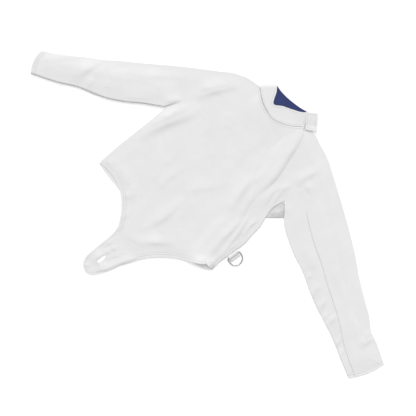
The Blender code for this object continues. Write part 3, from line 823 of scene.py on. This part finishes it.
def sleeve_top_grid(sections, tucks, seam_step):
    """The top sleeve: across the upper layer, round the outer edge, and under to the back seam."""
    rows = []
    edge = CLOTH / 2
    for section, tuck, opened, lap, rounded in zip(sections, tucks, *by_row()):
        width = travelled(section)[-1]
        runs = travelled(section)[seam_step:-1]
        runs[0] += -lap / 2 if seam_step else edge
        runs[-1] = min(runs[-1], width - edge - FOLD_RADIUS - FOLD_CLEAR)
        turn = half_turn(width - edge - FOLD_RADIUS, UNDER_MID + FOLD_RADIUS, FOLD_RADIUS, 90, -90)
        under = level(width - edge - FOLD_RADIUS, width - BACK_SEAM, UNDER_MID, TURNED_STEPS)
        heights = upper_height(runs, tuck, opened)
        if not seam_step:
            near = np.clip(1 - (runs - edge) / rounded, 0, 1)
            heights = heights - opened * (heights - UNDER_MID) * (1 - np.sqrt(1 - near ** 2))
        over = np.column_stack([runs, heights])
        rows.append(placed(section, np.vstack([over, turn, under])))
    rows[0][:, 2] += head_shift(rows[0][:, 2])
    return np.array(rows)


def sleeve_under_grid(sections, tucks, seam_step):
    """The under sleeve: from the front seam round the inner edge, and across to the back seam."""
    rows = []
    for section, tuck, opened, lap, _ in zip(sections, tucks, *by_row()):
        end = travelled(section)[-1] - BACK_SEAM - HIDDEN_SEAM_GAP
        start = CLOTH / 2 + (0 if seam_step else TUCK_INSET * opened)
        inner = start + FOLD_RADIUS
        if seam_step:
            runs = travelled(section)[seam_step:0:-1]
            runs[0] += lap / 2
            runs[-1] = max(runs[-1], inner + FOLD_CLEAR)
            profile = np.vstack([
                np.column_stack([runs, upper_height(runs, tuck, opened)]),
                half_turn(inner, UNDER_MID + FOLD_RADIUS, FOLD_RADIUS, 90, 270),
                level(inner, end, UNDER_MID, UNDER_STEPS),
            ])
        else:
            outer = inner + tuck
            third, second = UNDER_MID + 2 * LAYER_STEP, UNDER_MID + LAYER_STEP
            profile = np.vstack([
                [(start, third)],
                level(start, outer, third, TUCK_STEPS),
                half_turn(outer, third - FOLD_RADIUS, FOLD_RADIUS, 90, -90),
                level(outer, inner, second, TUCK_STEPS - 1),
                half_turn(inner, second - FOLD_RADIUS, FOLD_RADIUS, 90, 270),
                level(inner, end, UNDER_MID, UNDER_STEPS),
            ])
            flat = level(0, end, UNDER_MID, len(profile))
            profile = opened * profile + (1 - opened) * flat
        rows.append(placed(section, profile))
    rows[0][:, 2] += head_shift(rows[0][:, 2])
    return np.array(rows)


def sleeve(side, table, armhole, seam_step, finish):
    """A sleeve's top and under pieces, and the line of its cuff."""
    under_edge = HEAD_UNDER if side == "left" else -HEAD_UNDER
    ends = np.array(table, float)
    axis = (ends[-1, 0:2] + ends[-1, 2:4] - ends[0, 0:2] - ends[0, 2:4]) / 2
    grain = math.degrees(math.atan2(axis[0], -axis[1]))
    sections, tucks = sleeve_sections(table, offset(armhole, under_edge), seam_step)
    seam, cuff = sections[:, seam_step], sections[-1]
    front_seam = [(seam[first:last + 1], scale) for first, last, scale in SEAM_SCALES]
    top, under = (
        shell(
            f"sleeve_{side}_{part}_shell", grid(sections, tucks, seam_step), CLOTH, finish, grain,
            hems=[(cuff,)], seams=front_seam,
        )
        for part, grid in (("top", sleeve_top_grid), ("under", sleeve_under_grid))
    )
    return top, under, cuff


def collar(finish, lining_finish):
    """The collar's front and back halves, its lining and its tab."""
    neck = smooth_line(NECK_FRONT, NECK_STEPS)
    open_by = NECK_OPEN * (1 - smoothstep((neck[:, :1] - NECK_OPEN_FROM) / NECK_OPEN_OVER))
    foot = neck + (SEAM_GAP + open_by) * (offset(neck, 1) - neck)
    foot = joined(foot, smooth_line([foot[-1], COLLAR_END[0]], COLLAR_CORNER_STEPS))
    fold, end = lines_of(COLLAR_STEPS, COLLAR_FOLD, COLLAR_END)
    top = smooth_line(COLLAR_FRONT_TOP, len(foot) - 1)
    fold[0], end[0] = foot[0], foot[-1]
    places = filled(foot, top, fold, end)
    heights = UPPER_MID + OVERLAP_LIFT * smoothstep(distance_to(fold, places) / FOLD_RISE)
    heights = np.minimum(heights, UPPER_MID + np.maximum(neck_lift(places), heights - UPPER_MID))
    front = shell(
        "collar_outer", raised(places, heights), CLOTH, finish, COLLAR_GRAIN,
        rows=[(neck,), (end,), (top,)], seams=[(neck,), (end,)],
    )

    foot, top = smooth_line(NECK_BACK, NECK_BACK_STEPS), smooth_line(COLLAR_BACK_TOP, NECK_BACK_STEPS)
    foot = offset(foot, SEAM_GAP)
    fold, end = lines_of(COLLAR_BACK_ROWS, COLLAR_FOLD, [NECK_BACK[-1], COLLAR_BACK_TOP[-1]])
    fold[0], end[0] = foot[0], foot[-1]
    back = shell(
        "collar_behind", raised(filled(foot, top, fold, end), UNDER_MID), CLOTH, finish,
        rows=[(foot,), (top,)], seams=[(foot,)],
    )

    sides = lines_of(COLLAR_BACK_ROWS, LINING_LEFT, [LINING_FOOT[-1], LINING_TOP[-1]])
    places = filled(*lines_of(LINING_STEPS, LINING_FOOT, LINING_TOP), *sides)
    lining = shell(
        "lining", raised(places, CLOTH + SEAM_GAP + LINING / 2), LINING, lining_finish,
        rows=[(smooth_line(LINING_TOP, EDGE_STEPS),)],
    )

    inner, outer = lines_of(TAB_ROWS, TAB_INNER, TAB_OUTER)
    low, up = lines_of(TAB_COLUMNS, [inner[0], outer[0]], [inner[-1], outer[-1]])
    across = np.linspace(0, 1, TAB_COLUMNS + 1)
    falling = (1 - smoothstep((across - TAB_LEVEL) / (1 - TAB_LEVEL)))[None, :]
    heights = UPPER_MID + OVERLAP_LIFT + OVERLAP_LIFT * falling
    curled = 1 - smoothstep(np.linspace(0, 1 / TAB_CURL, TAB_ROWS + 1))
    heights = heights + TAB_LIFT * curled[:, None] * across[None, :]
    tab = shell(
        "tab", raised(filled(low, up, inner, outer), heights), CLOTH, finish, TAB_GRAIN,
        rows=[(inner,), (outer,), (low,), (up,)],
    )
    return front, back, lining, tab


def crotch_strap(finish):
    """The strap round its hole, in one with its root on the front point, and its run under the front."""
    root = smooth_line(FRONT_POINT, ROOT_STEPS)
    stretches = [smooth_line(line, steps) for line, steps in zip(
        (STRAP_LEFT, offset(root, JOIN), STRAP_RIGHT), STRAP_STEPS
    )]
    stretches[1][0], stretches[1][-1] = STRAP_LEFT[-1], STRAP_RIGHT[0]
    around = smooth_line(HOLE, HOLE_STEPS)
    edge = joined(*(
        around[np.round(HOLE_STEPS * np.linspace(low, high, len(line))).astype(int)]
        for line, low, high in zip(stretches, HOLE_SHARES, HOLE_SHARES[1:])
    ))
    outline = joined(*stretches)
    share = np.linspace(0, 1, STRAP_ACROSS + 1)[None, :, None]
    places = (1 - share) * outline[:, None] + share * edge[:, None]
    heights = UNDER_MID + LAYER_STEP * (1 - smoothstep(distance_to(root, places) / STRAP_FALL))
    ahead = places[1] - places[0]
    places[-1] = places[0] + HEAD_UNDER * ahead / np.linalg.norm(ahead, axis=1)[:, None]
    heights[-1] -= HEAD_DROP
    strap = shell(
        "strap", raised(places, heights), CLOTH, finish,
        rows=[(stretches[0],), (stretches[2],), (edge, HOLE_SCALE)],
    )
    foot, left, right, head = lines_of(
        RUN_STEPS, (STRAP_RUN[0], STRAP_RUN[3]), STRAP_RUN[0:2], STRAP_RUN[:1:-1], STRAP_RUN[1:3]
    )
    run = raised(filled(foot, head, left, right), UNDER_MID)
    return strap, shell("strap_run", run, CLOTH, finish, rows=[(left,), (right,)])


def ring_place(outward, sideways):
    """A place by the ring: outward from its bar, and along the bar."""
    axis = np.array([math.cos(RING_TURN), math.sin(RING_TURN)])
    along = np.array([-axis[1], axis[0]])
    return np.array(RING_CENTRE) + outward * axis + sideways * along


def ring_loop(finish):
    """Tape from the side seam, under the bar, round and back over it."""
    side = smooth_line(SIDE_LEFT, EDGE_STEPS)
    low = TAPE / 2
    over = TAPE + 2 * SEAM_GAP + RING_WIRE + TAPE / 2
    turn = [
        (TAPE_REACH + TAPE_BULGE * math.cos(a), low + FOLD_RADIUS + FOLD_RADIUS * math.sin(a))
        for a in np.radians(TAPE_TURN)
    ]
    profile = [(None, low)] + [(run, low) for run in TAPE_FLAT] + turn + [(TAPE_BACK, over - TAPE_BACK_DROP)]
    profile += [(sign * run, over - drop) for sign in (1, -1) for run, drop in BAR_CROWN[::sign]]
    profile += [(None, UPPER_MID)]
    columns = []
    for sideways in np.linspace(-TAPE_WIDTH / 2, TAPE_WIDTH / 2, TAPE_ACROSS + 1):
        column = []
        for outward, height in profile:
            if outward is None:
                y = ring_place(TAPE_SEAM, sideways)[1]
                place = np.array([np.interp(y, side[:, 1], side[:, 0]) + TAPE_START, y])
            else:
                place = ring_place(outward, sideways)
            column.append((*place, height))
        columns.append(smooth_line(column, TAPE_STEPS))
    edges = [(np.array(columns[end])[:, :2],) for end in (0, -1)]
    return shell("tape", np.array(columns), TAPE, finish, TAPE_GRAIN, seams=edges, settle=False)


def ring():
    """The bent wire: a straight bar with round corners, two legs and a half circle."""
    corner, half = RING_CORNER, RING_HALF_WIDTH
    bend = np.radians(np.linspace(90, 0, RING_BEND_STEPS + 1))
    arc = np.radians(np.linspace(0, 180, RING_ARC_STEPS + 1))
    path = [(corner - corner * math.sin(a), -half + corner - corner * math.cos(a)) for a in bend]
    path += [(RING_LEG + half * math.sin(a), -half * math.cos(a)) for a in arc]
    path += [(corner - corner * math.sin(a), half - corner + corner * math.cos(a)) for a in bend[::-1]]
    drop = math.asin((BAR_HEIGHT - RING_WIRE / 2 - RING_CLEAR) / (RING_LEG + half))
    curve = bpy.data.curves.new("ring", "CURVE")
    curve.dimensions = "3D"
    curve.bevel_depth = RING_WIRE / 2 * MM
    curve.bevel_resolution = WIRE_ROUND
    spline = curve.splines.new("POLY")
    spline.use_cyclic_u = True
    spline.points.add(len(path) - 1)
    for point, (outward, sideways) in zip(spline.points, path):
        point.co = (outward * MM, sideways * MM, 0, 1)
    curve.materials.append(steel())
    made = finished(linked("ring", curve))
    place = Euler((0, drop, RING_TURN)).to_matrix().to_4x4()
    place.translation = Vector((*RING_CENTRE, BAR_HEIGHT)) * MM
    made.data.transform(place)
    made.data.shade_smooth()
    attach(made, "ring")
    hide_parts("d_ring")


def evenly(line, pitch):
    """Places along a line at an even pitch, with the way that it runs there."""
    reach = travelled(line)
    count = max(1, int(reach[-1] / pitch))
    at = (np.arange(count) + 0.5) * reach[-1] / count
    places, ahead, behind = (
        np.column_stack([np.interp(at + shift, reach, line[:, axis]) for axis in (0, 1)])
        for shift in (0, 0.5, -0.5)
    )
    step = ahead - behind
    return places, step / np.linalg.norm(step, axis=1)[:, None]


def stitched(name, piece, finish, above=(), below=()):
    """Separate stitches along lines on a piece's upper or lower side, each dipping into it at its ends."""
    cloth = bmesh.new()
    cloth.from_mesh(piece.data)
    surface = BVHTree.FromBMesh(cloth)
    cloth.free()
    curve = bpy.data.curves.new(name, "CURVE")
    curve.dimensions = "3D"
    curve.bevel_depth = THREAD / 2 * MM
    curve.bevel_resolution = 0
    curve.use_fill_caps = True
    for lines, up in ((above, 1), (below, -1)):
        for place, way in (stitch for line in lines for stitch in zip(*evenly(line, STITCH_PITCH))):
            points = []
            for share, proud in STITCH_SHAPE:
                x, y = place + share * STITCH * way
                hit = surface.ray_cast(Vector((x, y, up * CLEAR_OF_ALL)) * MM, Vector((0, 0, -up)))[0]
                if hit is None:
                    break
                points.append((x * MM, y * MM, hit.z + up * proud * MM, 1))
            heights = [point[2] for point in points]
            if len(points) == len(STITCH_SHAPE) and max(heights) - min(heights) < STITCH_STEP * MM:
                spline = curve.splines.new("POLY")
                spline.points.add(len(points) - 1)
                for point, co in zip(spline.points, points):
                    point.co = co
    curve.materials.append(finish)
    made = finished(linked(name, curve))
    made.data.shade_smooth()
    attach(made, "jacket")


class Finish:
    """A material's nodes, added and joined one after another."""

    def __init__(self, name):
        self.material = bpy.data.materials.new(name)
        self.material.use_nodes = True
        self.tree = self.material.node_tree
        self.shader = self.tree.nodes["Principled BSDF"]

    def node(self, kind, inputs=(), **settings):
        made = self.tree.nodes.new("ShaderNode" + kind)
        for key, value in settings.items():
            setattr(made, key, value)
        for key, value in dict(inputs).items():
            self.put(made.inputs[key], value)
        return made

    def put(self, socket, value):
        if isinstance(value, bpy.types.NodeSocket):
            self.tree.links.new(value, socket)
        elif isinstance(value, bpy.types.Node):
            self.tree.links.new(value.outputs[0], socket)
        else:
            socket.default_value = value

    def place(self):
        return self.node("TexCoord").outputs["Object"]

    def math(self, operation, first, second=0.0):
        return self.node("Math", {0: first, 1: second}, operation=operation)

    def between(self, value, low, high, out_low=0.0, out_high=1.0):
        """value from low to high turned smoothly to out_low to out_high."""
        return self.node(
            "MapRange",
            {"Value": value, "From Min": low, "From Max": high, "To Min": out_low, "To Max": out_high},
            interpolation_type="SMOOTHSTEP",
        )

    def noise(self, where, scale, detail=2.0, roughness=0.5):
        return self.node(
            "TexNoise", {"Vector": where, "Scale": scale, "Detail": detail, "Roughness": roughness}
        ).outputs["Fac"]

    def bump(self, height):
        """height in metres."""
        return self.node("Bump", {"Height": height, "Distance": 1.0, "Strength": 1.0})

    def shade(self, colour, factor):
        """A colour darkened where factor is below 1."""
        return self.node(
            "Mix", {"Factor": 1.0, "A": (*colour, 1), "B": factor}, data_type="RGBA", blend_type="MULTIPLY"
        ).outputs["Result"]

    def surfaced(self, inputs):
        """The material, with its shader's own inputs set or joined."""
        for key, value in inputs.items():
            self.put(self.shader.inputs[key], value)
        return self.material


def line_at(finish, away, distance):
    """1 on the line at a distance from an edge, falling to 0 beside it."""
    gap = finish.math("ABSOLUTE", finish.math("SUBTRACT", away, distance * MM))
    return finish.between(gap, 0.0, STITCH_PULL * MM, 1.0, 0.0)


def woven(name, colour, thread, relief, roughness, sheen, mottle):
    """A woven cloth: threads, nap, slow unevenness, hems, topstitching and seams, with painted shade along
    the topstitching and beside the seams.
    """
    finish = Finish(name)
    grain = finish.node("UVMap", uv_map="grain").outputs["UV"]
    place = finish.place()
    stitch_row, hem, seam = (
        finish.node("Attribute", attribute_name=kind).outputs["Fac"]
        for kind in ("stitch_row", "hem", "seam")
    )

    # a wave node's bands repeat every pi / 10 of its scaled coordinate
    scale = math.pi / 10 / (thread * MM)
    crossing = {"Vector": grain, "Scale": scale, "Distortion": 0.6, "Detail": 1.0}
    warp, weft = (finish.node("TexWave", crossing, bands_direction=way) for way in ("X", "Y"))
    twill = finish.node(
        "TexWave", {"Vector": grain, "Scale": scale * 0.7, "Distortion": 0.4}, bands_direction="DIAGONAL"
    )
    threads = finish.math("MULTIPLY", finish.math("MULTIPLY", warp, weft), PLAIN_SHARE)
    threads = finish.math("ADD", threads, finish.math("MULTIPLY", twill, 1 - PLAIN_SHARE))
    nap = finish.noise(place, 900.0, 3.0, 0.6)
    soft = finish.noise(place, 90.0, 2.0)
    pucker = finish.noise(grain, 150.0, 1.0)

    rows = [line_at(finish, stitch_row, TOPSTITCH)] + [line_at(finish, hem, at) for at in HEM_ROWS]
    stitch_dip_and_shade = finish.math("MAXIMUM", finish.math("MAXIMUM", rows[0], rows[1]), rows[2])
    near_row = finish.between(finish.math("MINIMUM", stitch_row, hem), 0.0, PUCKER_OVER * MM, 1.0, 0.0)
    fold = HEM_ROWS[1]
    doubled = finish.between(hem, (fold - FOLD_SOFT) * MM, (fold + FOLD_SOFT) * MM, 1.0, 0.0)
    seam_dip_and_shade = finish.between(seam, 0.0, SEAM_OVER * MM, 1.0, 0.0)

    height = finish.math("MULTIPLY", threads, relief * MM)
    for part, rise in (
        (nap, 0.06), (soft, 0.22), (finish.math("MULTIPLY", pucker, near_row), 0.7), (doubled, 0.35),
        (stitch_dip_and_shade, -0.45), (seam_dip_and_shade, -0.9),
    ):
        height = finish.math("ADD", height, finish.math("MULTIPLY", part, rise * MM))

    tone = finish.between(finish.noise(place, 14.0, 3.0), 0.3, 0.7, 1 - mottle, 1.0)
    tone = finish.math("MULTIPLY", tone, finish.between(threads, 0.0, 1.0, 0.94, 1.02))
    tone = finish.math("MULTIPLY", tone, finish.between(nap, 0.3, 0.7, 0.985, 1.01))
    # Painted shade: the colour is darkened along the stitch rows and beside the seams, where their grooves
    # lie in shade
    for part, painted_shade in ((stitch_dip_and_shade, 0.05), (seam_dip_and_shade, 0.10)):
        tone = finish.math("SUBTRACT", tone, finish.math("MULTIPLY", part, painted_shade))
    return finish.surfaced({
        "Base Color": finish.shade(colour, tone),
        "Roughness": finish.between(nap, 0.3, 0.7, roughness - 0.06, roughness),
        "Normal": finish.bump(height),
        "Sheen Weight": sheen,
        "Sheen Roughness": 0.5,
        "Specular IOR Level": 0.2,
    })


def thread_finish():
    """Sewing thread with its twist."""
    finish = Finish("stitching_thread")
    twist = finish.noise(finish.place(), 2500.0, 2.0)
    return finish.surfaced({
        "Base Color": finish.shade(THREAD_WHITE, finish.between(twist, 0.3, 0.7, 0.9, 1.0)),
        "Normal": finish.bump(finish.math("MULTIPLY", twist, 0.08 * MM)),
        "Roughness": 0.6,
        "Sheen Weight": 0.1,
    })


def steel():
    """Bright plating, a little cloudy."""
    finish = Finish("plated_steel")
    place = finish.place()
    fine = finish.noise(place, 1400.0, 3.0, 0.6)
    cloudy = finish.noise(place, 120.0, 2.0)
    return finish.surfaced({
        "Base Color": finish.shade(STEEL, finish.between(cloudy, 0.3, 0.7, 0.82, 1.0)),
        "Roughness": finish.between(fine, 0.3, 0.7, 0.24, 0.36),
        "Normal": finish.bump(finish.math("MULTIPLY", fine, 0.02 * MM)),
        "Metallic": 1.0,
    })


def studio():
    """A plain pale floor, soft even light from the collar's side, and a camera straight above."""
    floor = bmesh.new()
    bmesh.ops.create_grid(floor, x_segments=1, y_segments=1, size=FLOOR_HALF)
    bmesh.ops.translate(floor, verts=floor.verts, vec=(0, 0, -FLOOR_DROP * MM))
    mesh = bpy.data.meshes.new("floor")
    floor.to_mesh(mesh)
    floor.free()
    finish = Finish("floor_white")
    tone = finish.between(finish.noise(finish.place(), 3.0), 0.3, 0.7, 0.99, 1.0)
    mesh.materials.append(finish.surfaced({
        "Base Color": finish.shade(FLOOR, tone), "Roughness": 1.0, "Specular IOR Level": 0.0,
    }))
    linked("floor", mesh)

    world = bpy.data.worlds.new("soft_light")
    world.use_nodes = True
    sky = world.node_tree.nodes["Background"]
    sky.inputs["Color"].default_value = (1, 1, 1, 1)
    sky.inputs["Strength"].default_value = SKY_LIGHT
    bpy.context.scene.world = world
    for name, energy in LAMP_LIGHTS.items():
        lamp = bpy.data.lights.new(name, "SUN")
        lamp.energy = energy
        lamp.angle = math.radians(LAMP_SPREAD)
        lamp.use_shadow = name == "softbox"
        linked(name, lamp).rotation_euler = Vector(LAMP_FROM).to_track_quat("Z", "Y").to_euler()

    camera = bpy.data.cameras.new("camera")
    camera.lens = LENS
    camera.sensor_width = SENSOR
    camera.clip_end = CAMERA_REACH
    above = linked("camera", camera)
    above.location = (VIEW_CENTRE[0] * MM, VIEW_CENTRE[1] * MM, VIEW_WIDTH * MM * LENS / SENSOR)
    above.rotation_euler = (0, 0, math.radians(VIEW_TURN))
    bpy.context.scene.camera = above
    bpy.context.scene.view_settings.view_transform = "Standard"
    bpy.context.scene.view_settings.look = "None"


def stitch_all(thread, back, left_front, front, sleeves, collar_outer, strap):
    """The rows of stitches beside the hems, the neck, the cuffs, the collar and the strap."""
    neck = smooth_line(NECK_FRONT, NECK_STEPS)
    hem = joined(*(smooth_line(line, steps) for line, steps in HEM_LINES))
    hem_rows, left_rows, back_rows = ([offset(line, at) for at in HEM_ROWS] for line in (
        hem, smooth_line(LEFT_FRONT_HEM, EDGE_STEPS), smooth_line(HEM_BACK, ROW_STEPS),
    ))
    stitched("front_stitching", front, thread, [offset(neck, -TOPSTITCH), *hem_rows])
    stitched("left_front_stitching", left_front, thread, left_rows)
    stitched("back_stitching", back, thread, back_rows, back_rows)
    for side, inward, (top, under, cuff) in zip(("right", "left"), (-1, 1), sleeves):
        rows = [offset(cuff, inward * at) for at in HEM_ROWS]
        for part, piece in (("top", top), ("under", under)):
            stitched(f"cuff_stitching_{side}_{part}", piece, thread, rows, rows)
    collar_top = smooth_line(COLLAR_FRONT_TOP, COLLAR_ROW_STEPS)
    collar_rows = [offset(neck, TOPSTITCH + SEAM_GAP), offset(collar_top, -TOPSTITCH)]
    stitched("collar_stitching", collar_outer, thread, collar_rows)
    strap_rows = [offset(line, -TOPSTITCH) for line in lines_of(ROW_STEPS, STRAP_LEFT, STRAP_RIGHT)]
    stitched("strap_stitching", strap, thread, strap_rows, strap_rows)


def main():
    """The pieces and their finishes, and what each sheet was cut from."""
    cotton = woven("white_cotton", COTTON, mottle=0.025, **COTTON_WEAVE)
    lining_blue = woven(
        "blue_lining", LINING_BLUE, thread=0.4, relief=0.05, roughness=0.75, sheen=0.15, mottle=0.12
    )
    webbing = woven(
        "white_tape", TAPE_WHITE, thread=1.1, relief=0.22, roughness=0.85, sheen=0.08, mottle=0.04
    )
    thread = thread_finish()
    back = back_panel(cotton)
    left_front = left_front_panel(cotton)
    front = front_panel(cotton)
    # The gusset's grey and its strong mottle are painted shade of the recessed armpit and its small folds
    armpit = gusset(woven("gusset_cotton_painted_shade", GUSSET_PAINTED_SHADE, mottle=0.35, **COTTON_WEAVE))
    armhole_right = smooth_line(ARMHOLE_RIGHT, ARMHOLE_STEPS)
    right = sleeve("right", RIGHT_SLEEVE, armhole_right, 0, cotton)
    left = sleeve("left", LEFT_SLEEVE, armhole_left(), 2 * GUSSET_STEPS, cotton)
    collar_outer, collar_behind, lining, tab = collar(cotton, lining_blue)
    strap, strap_run = crotch_strap(cotton)
    tape = ring_loop(webbing)
    ring()
    stitch_all(thread, back, left_front, front, (right, left), collar_outer, strap)

    sheets = [
        # piece, node, slot, width and length it was cut to, area of the cut, what it lies on
        (back, "back_panel", "cotton", (0.53, 0.58), 0.2584, ["floor"]),
        (left_front, "left_front_panel", "cotton", (0.16, 0.57), 0.0548, ["back"]),
        (front, "front_panel", "cotton", (0.50, 0.70), 0.2402, ["back", "left_front"]),
        (armpit, "underarm_gusset", "cotton", (0.05, 0.08), 0.0022, ["floor"]),
        (right[0], "sleeve_right_top", "cotton", (0.19, 0.62), 0.0864, ["sleeve_right_under_shell"]),
        (right[1], "sleeve_right_under", "cotton", (0.25, 0.62), 0.1025, ["floor"]),
        (left[0], "sleeve_left_top", "cotton", (0.19, 0.68), 0.0919, ["sleeve_left_under_shell"]),
        (left[1], "sleeve_left_under", "cotton", (0.25, 0.68), 0.1247, ["floor"]),
        (collar_outer, "collar_front", "cotton", (0.06, 0.22), 0.0099, ["lining"]),
        (collar_behind, "collar_back", "cotton", (0.055, 0.19), 0.0095, ["floor"]),
        (lining, "collar_lining", "lining", (0.055, 0.17), 0.0073, ["collar_behind"]),
        (tab, "collar_tab", "cotton", (0.043, 0.06), 0.0024, ["collar_outer"]),
        (strap, "crotch_strap", "cotton", (0.13, 0.18), 0.0134, ["floor"]),
        (tape, "ring_loop", "webbing", (0.034, 0.051), 0.0017, ["left_front"]),
        (strap_run, None, "cotton", (0.052, 0.134), 0.0069, ["floor"]),
    ]
    for piece, node, slot, flat, area, rests_on in sheets:
        if node:
            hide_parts(node)
    studio()


OUTLINE = silhouette()
main()
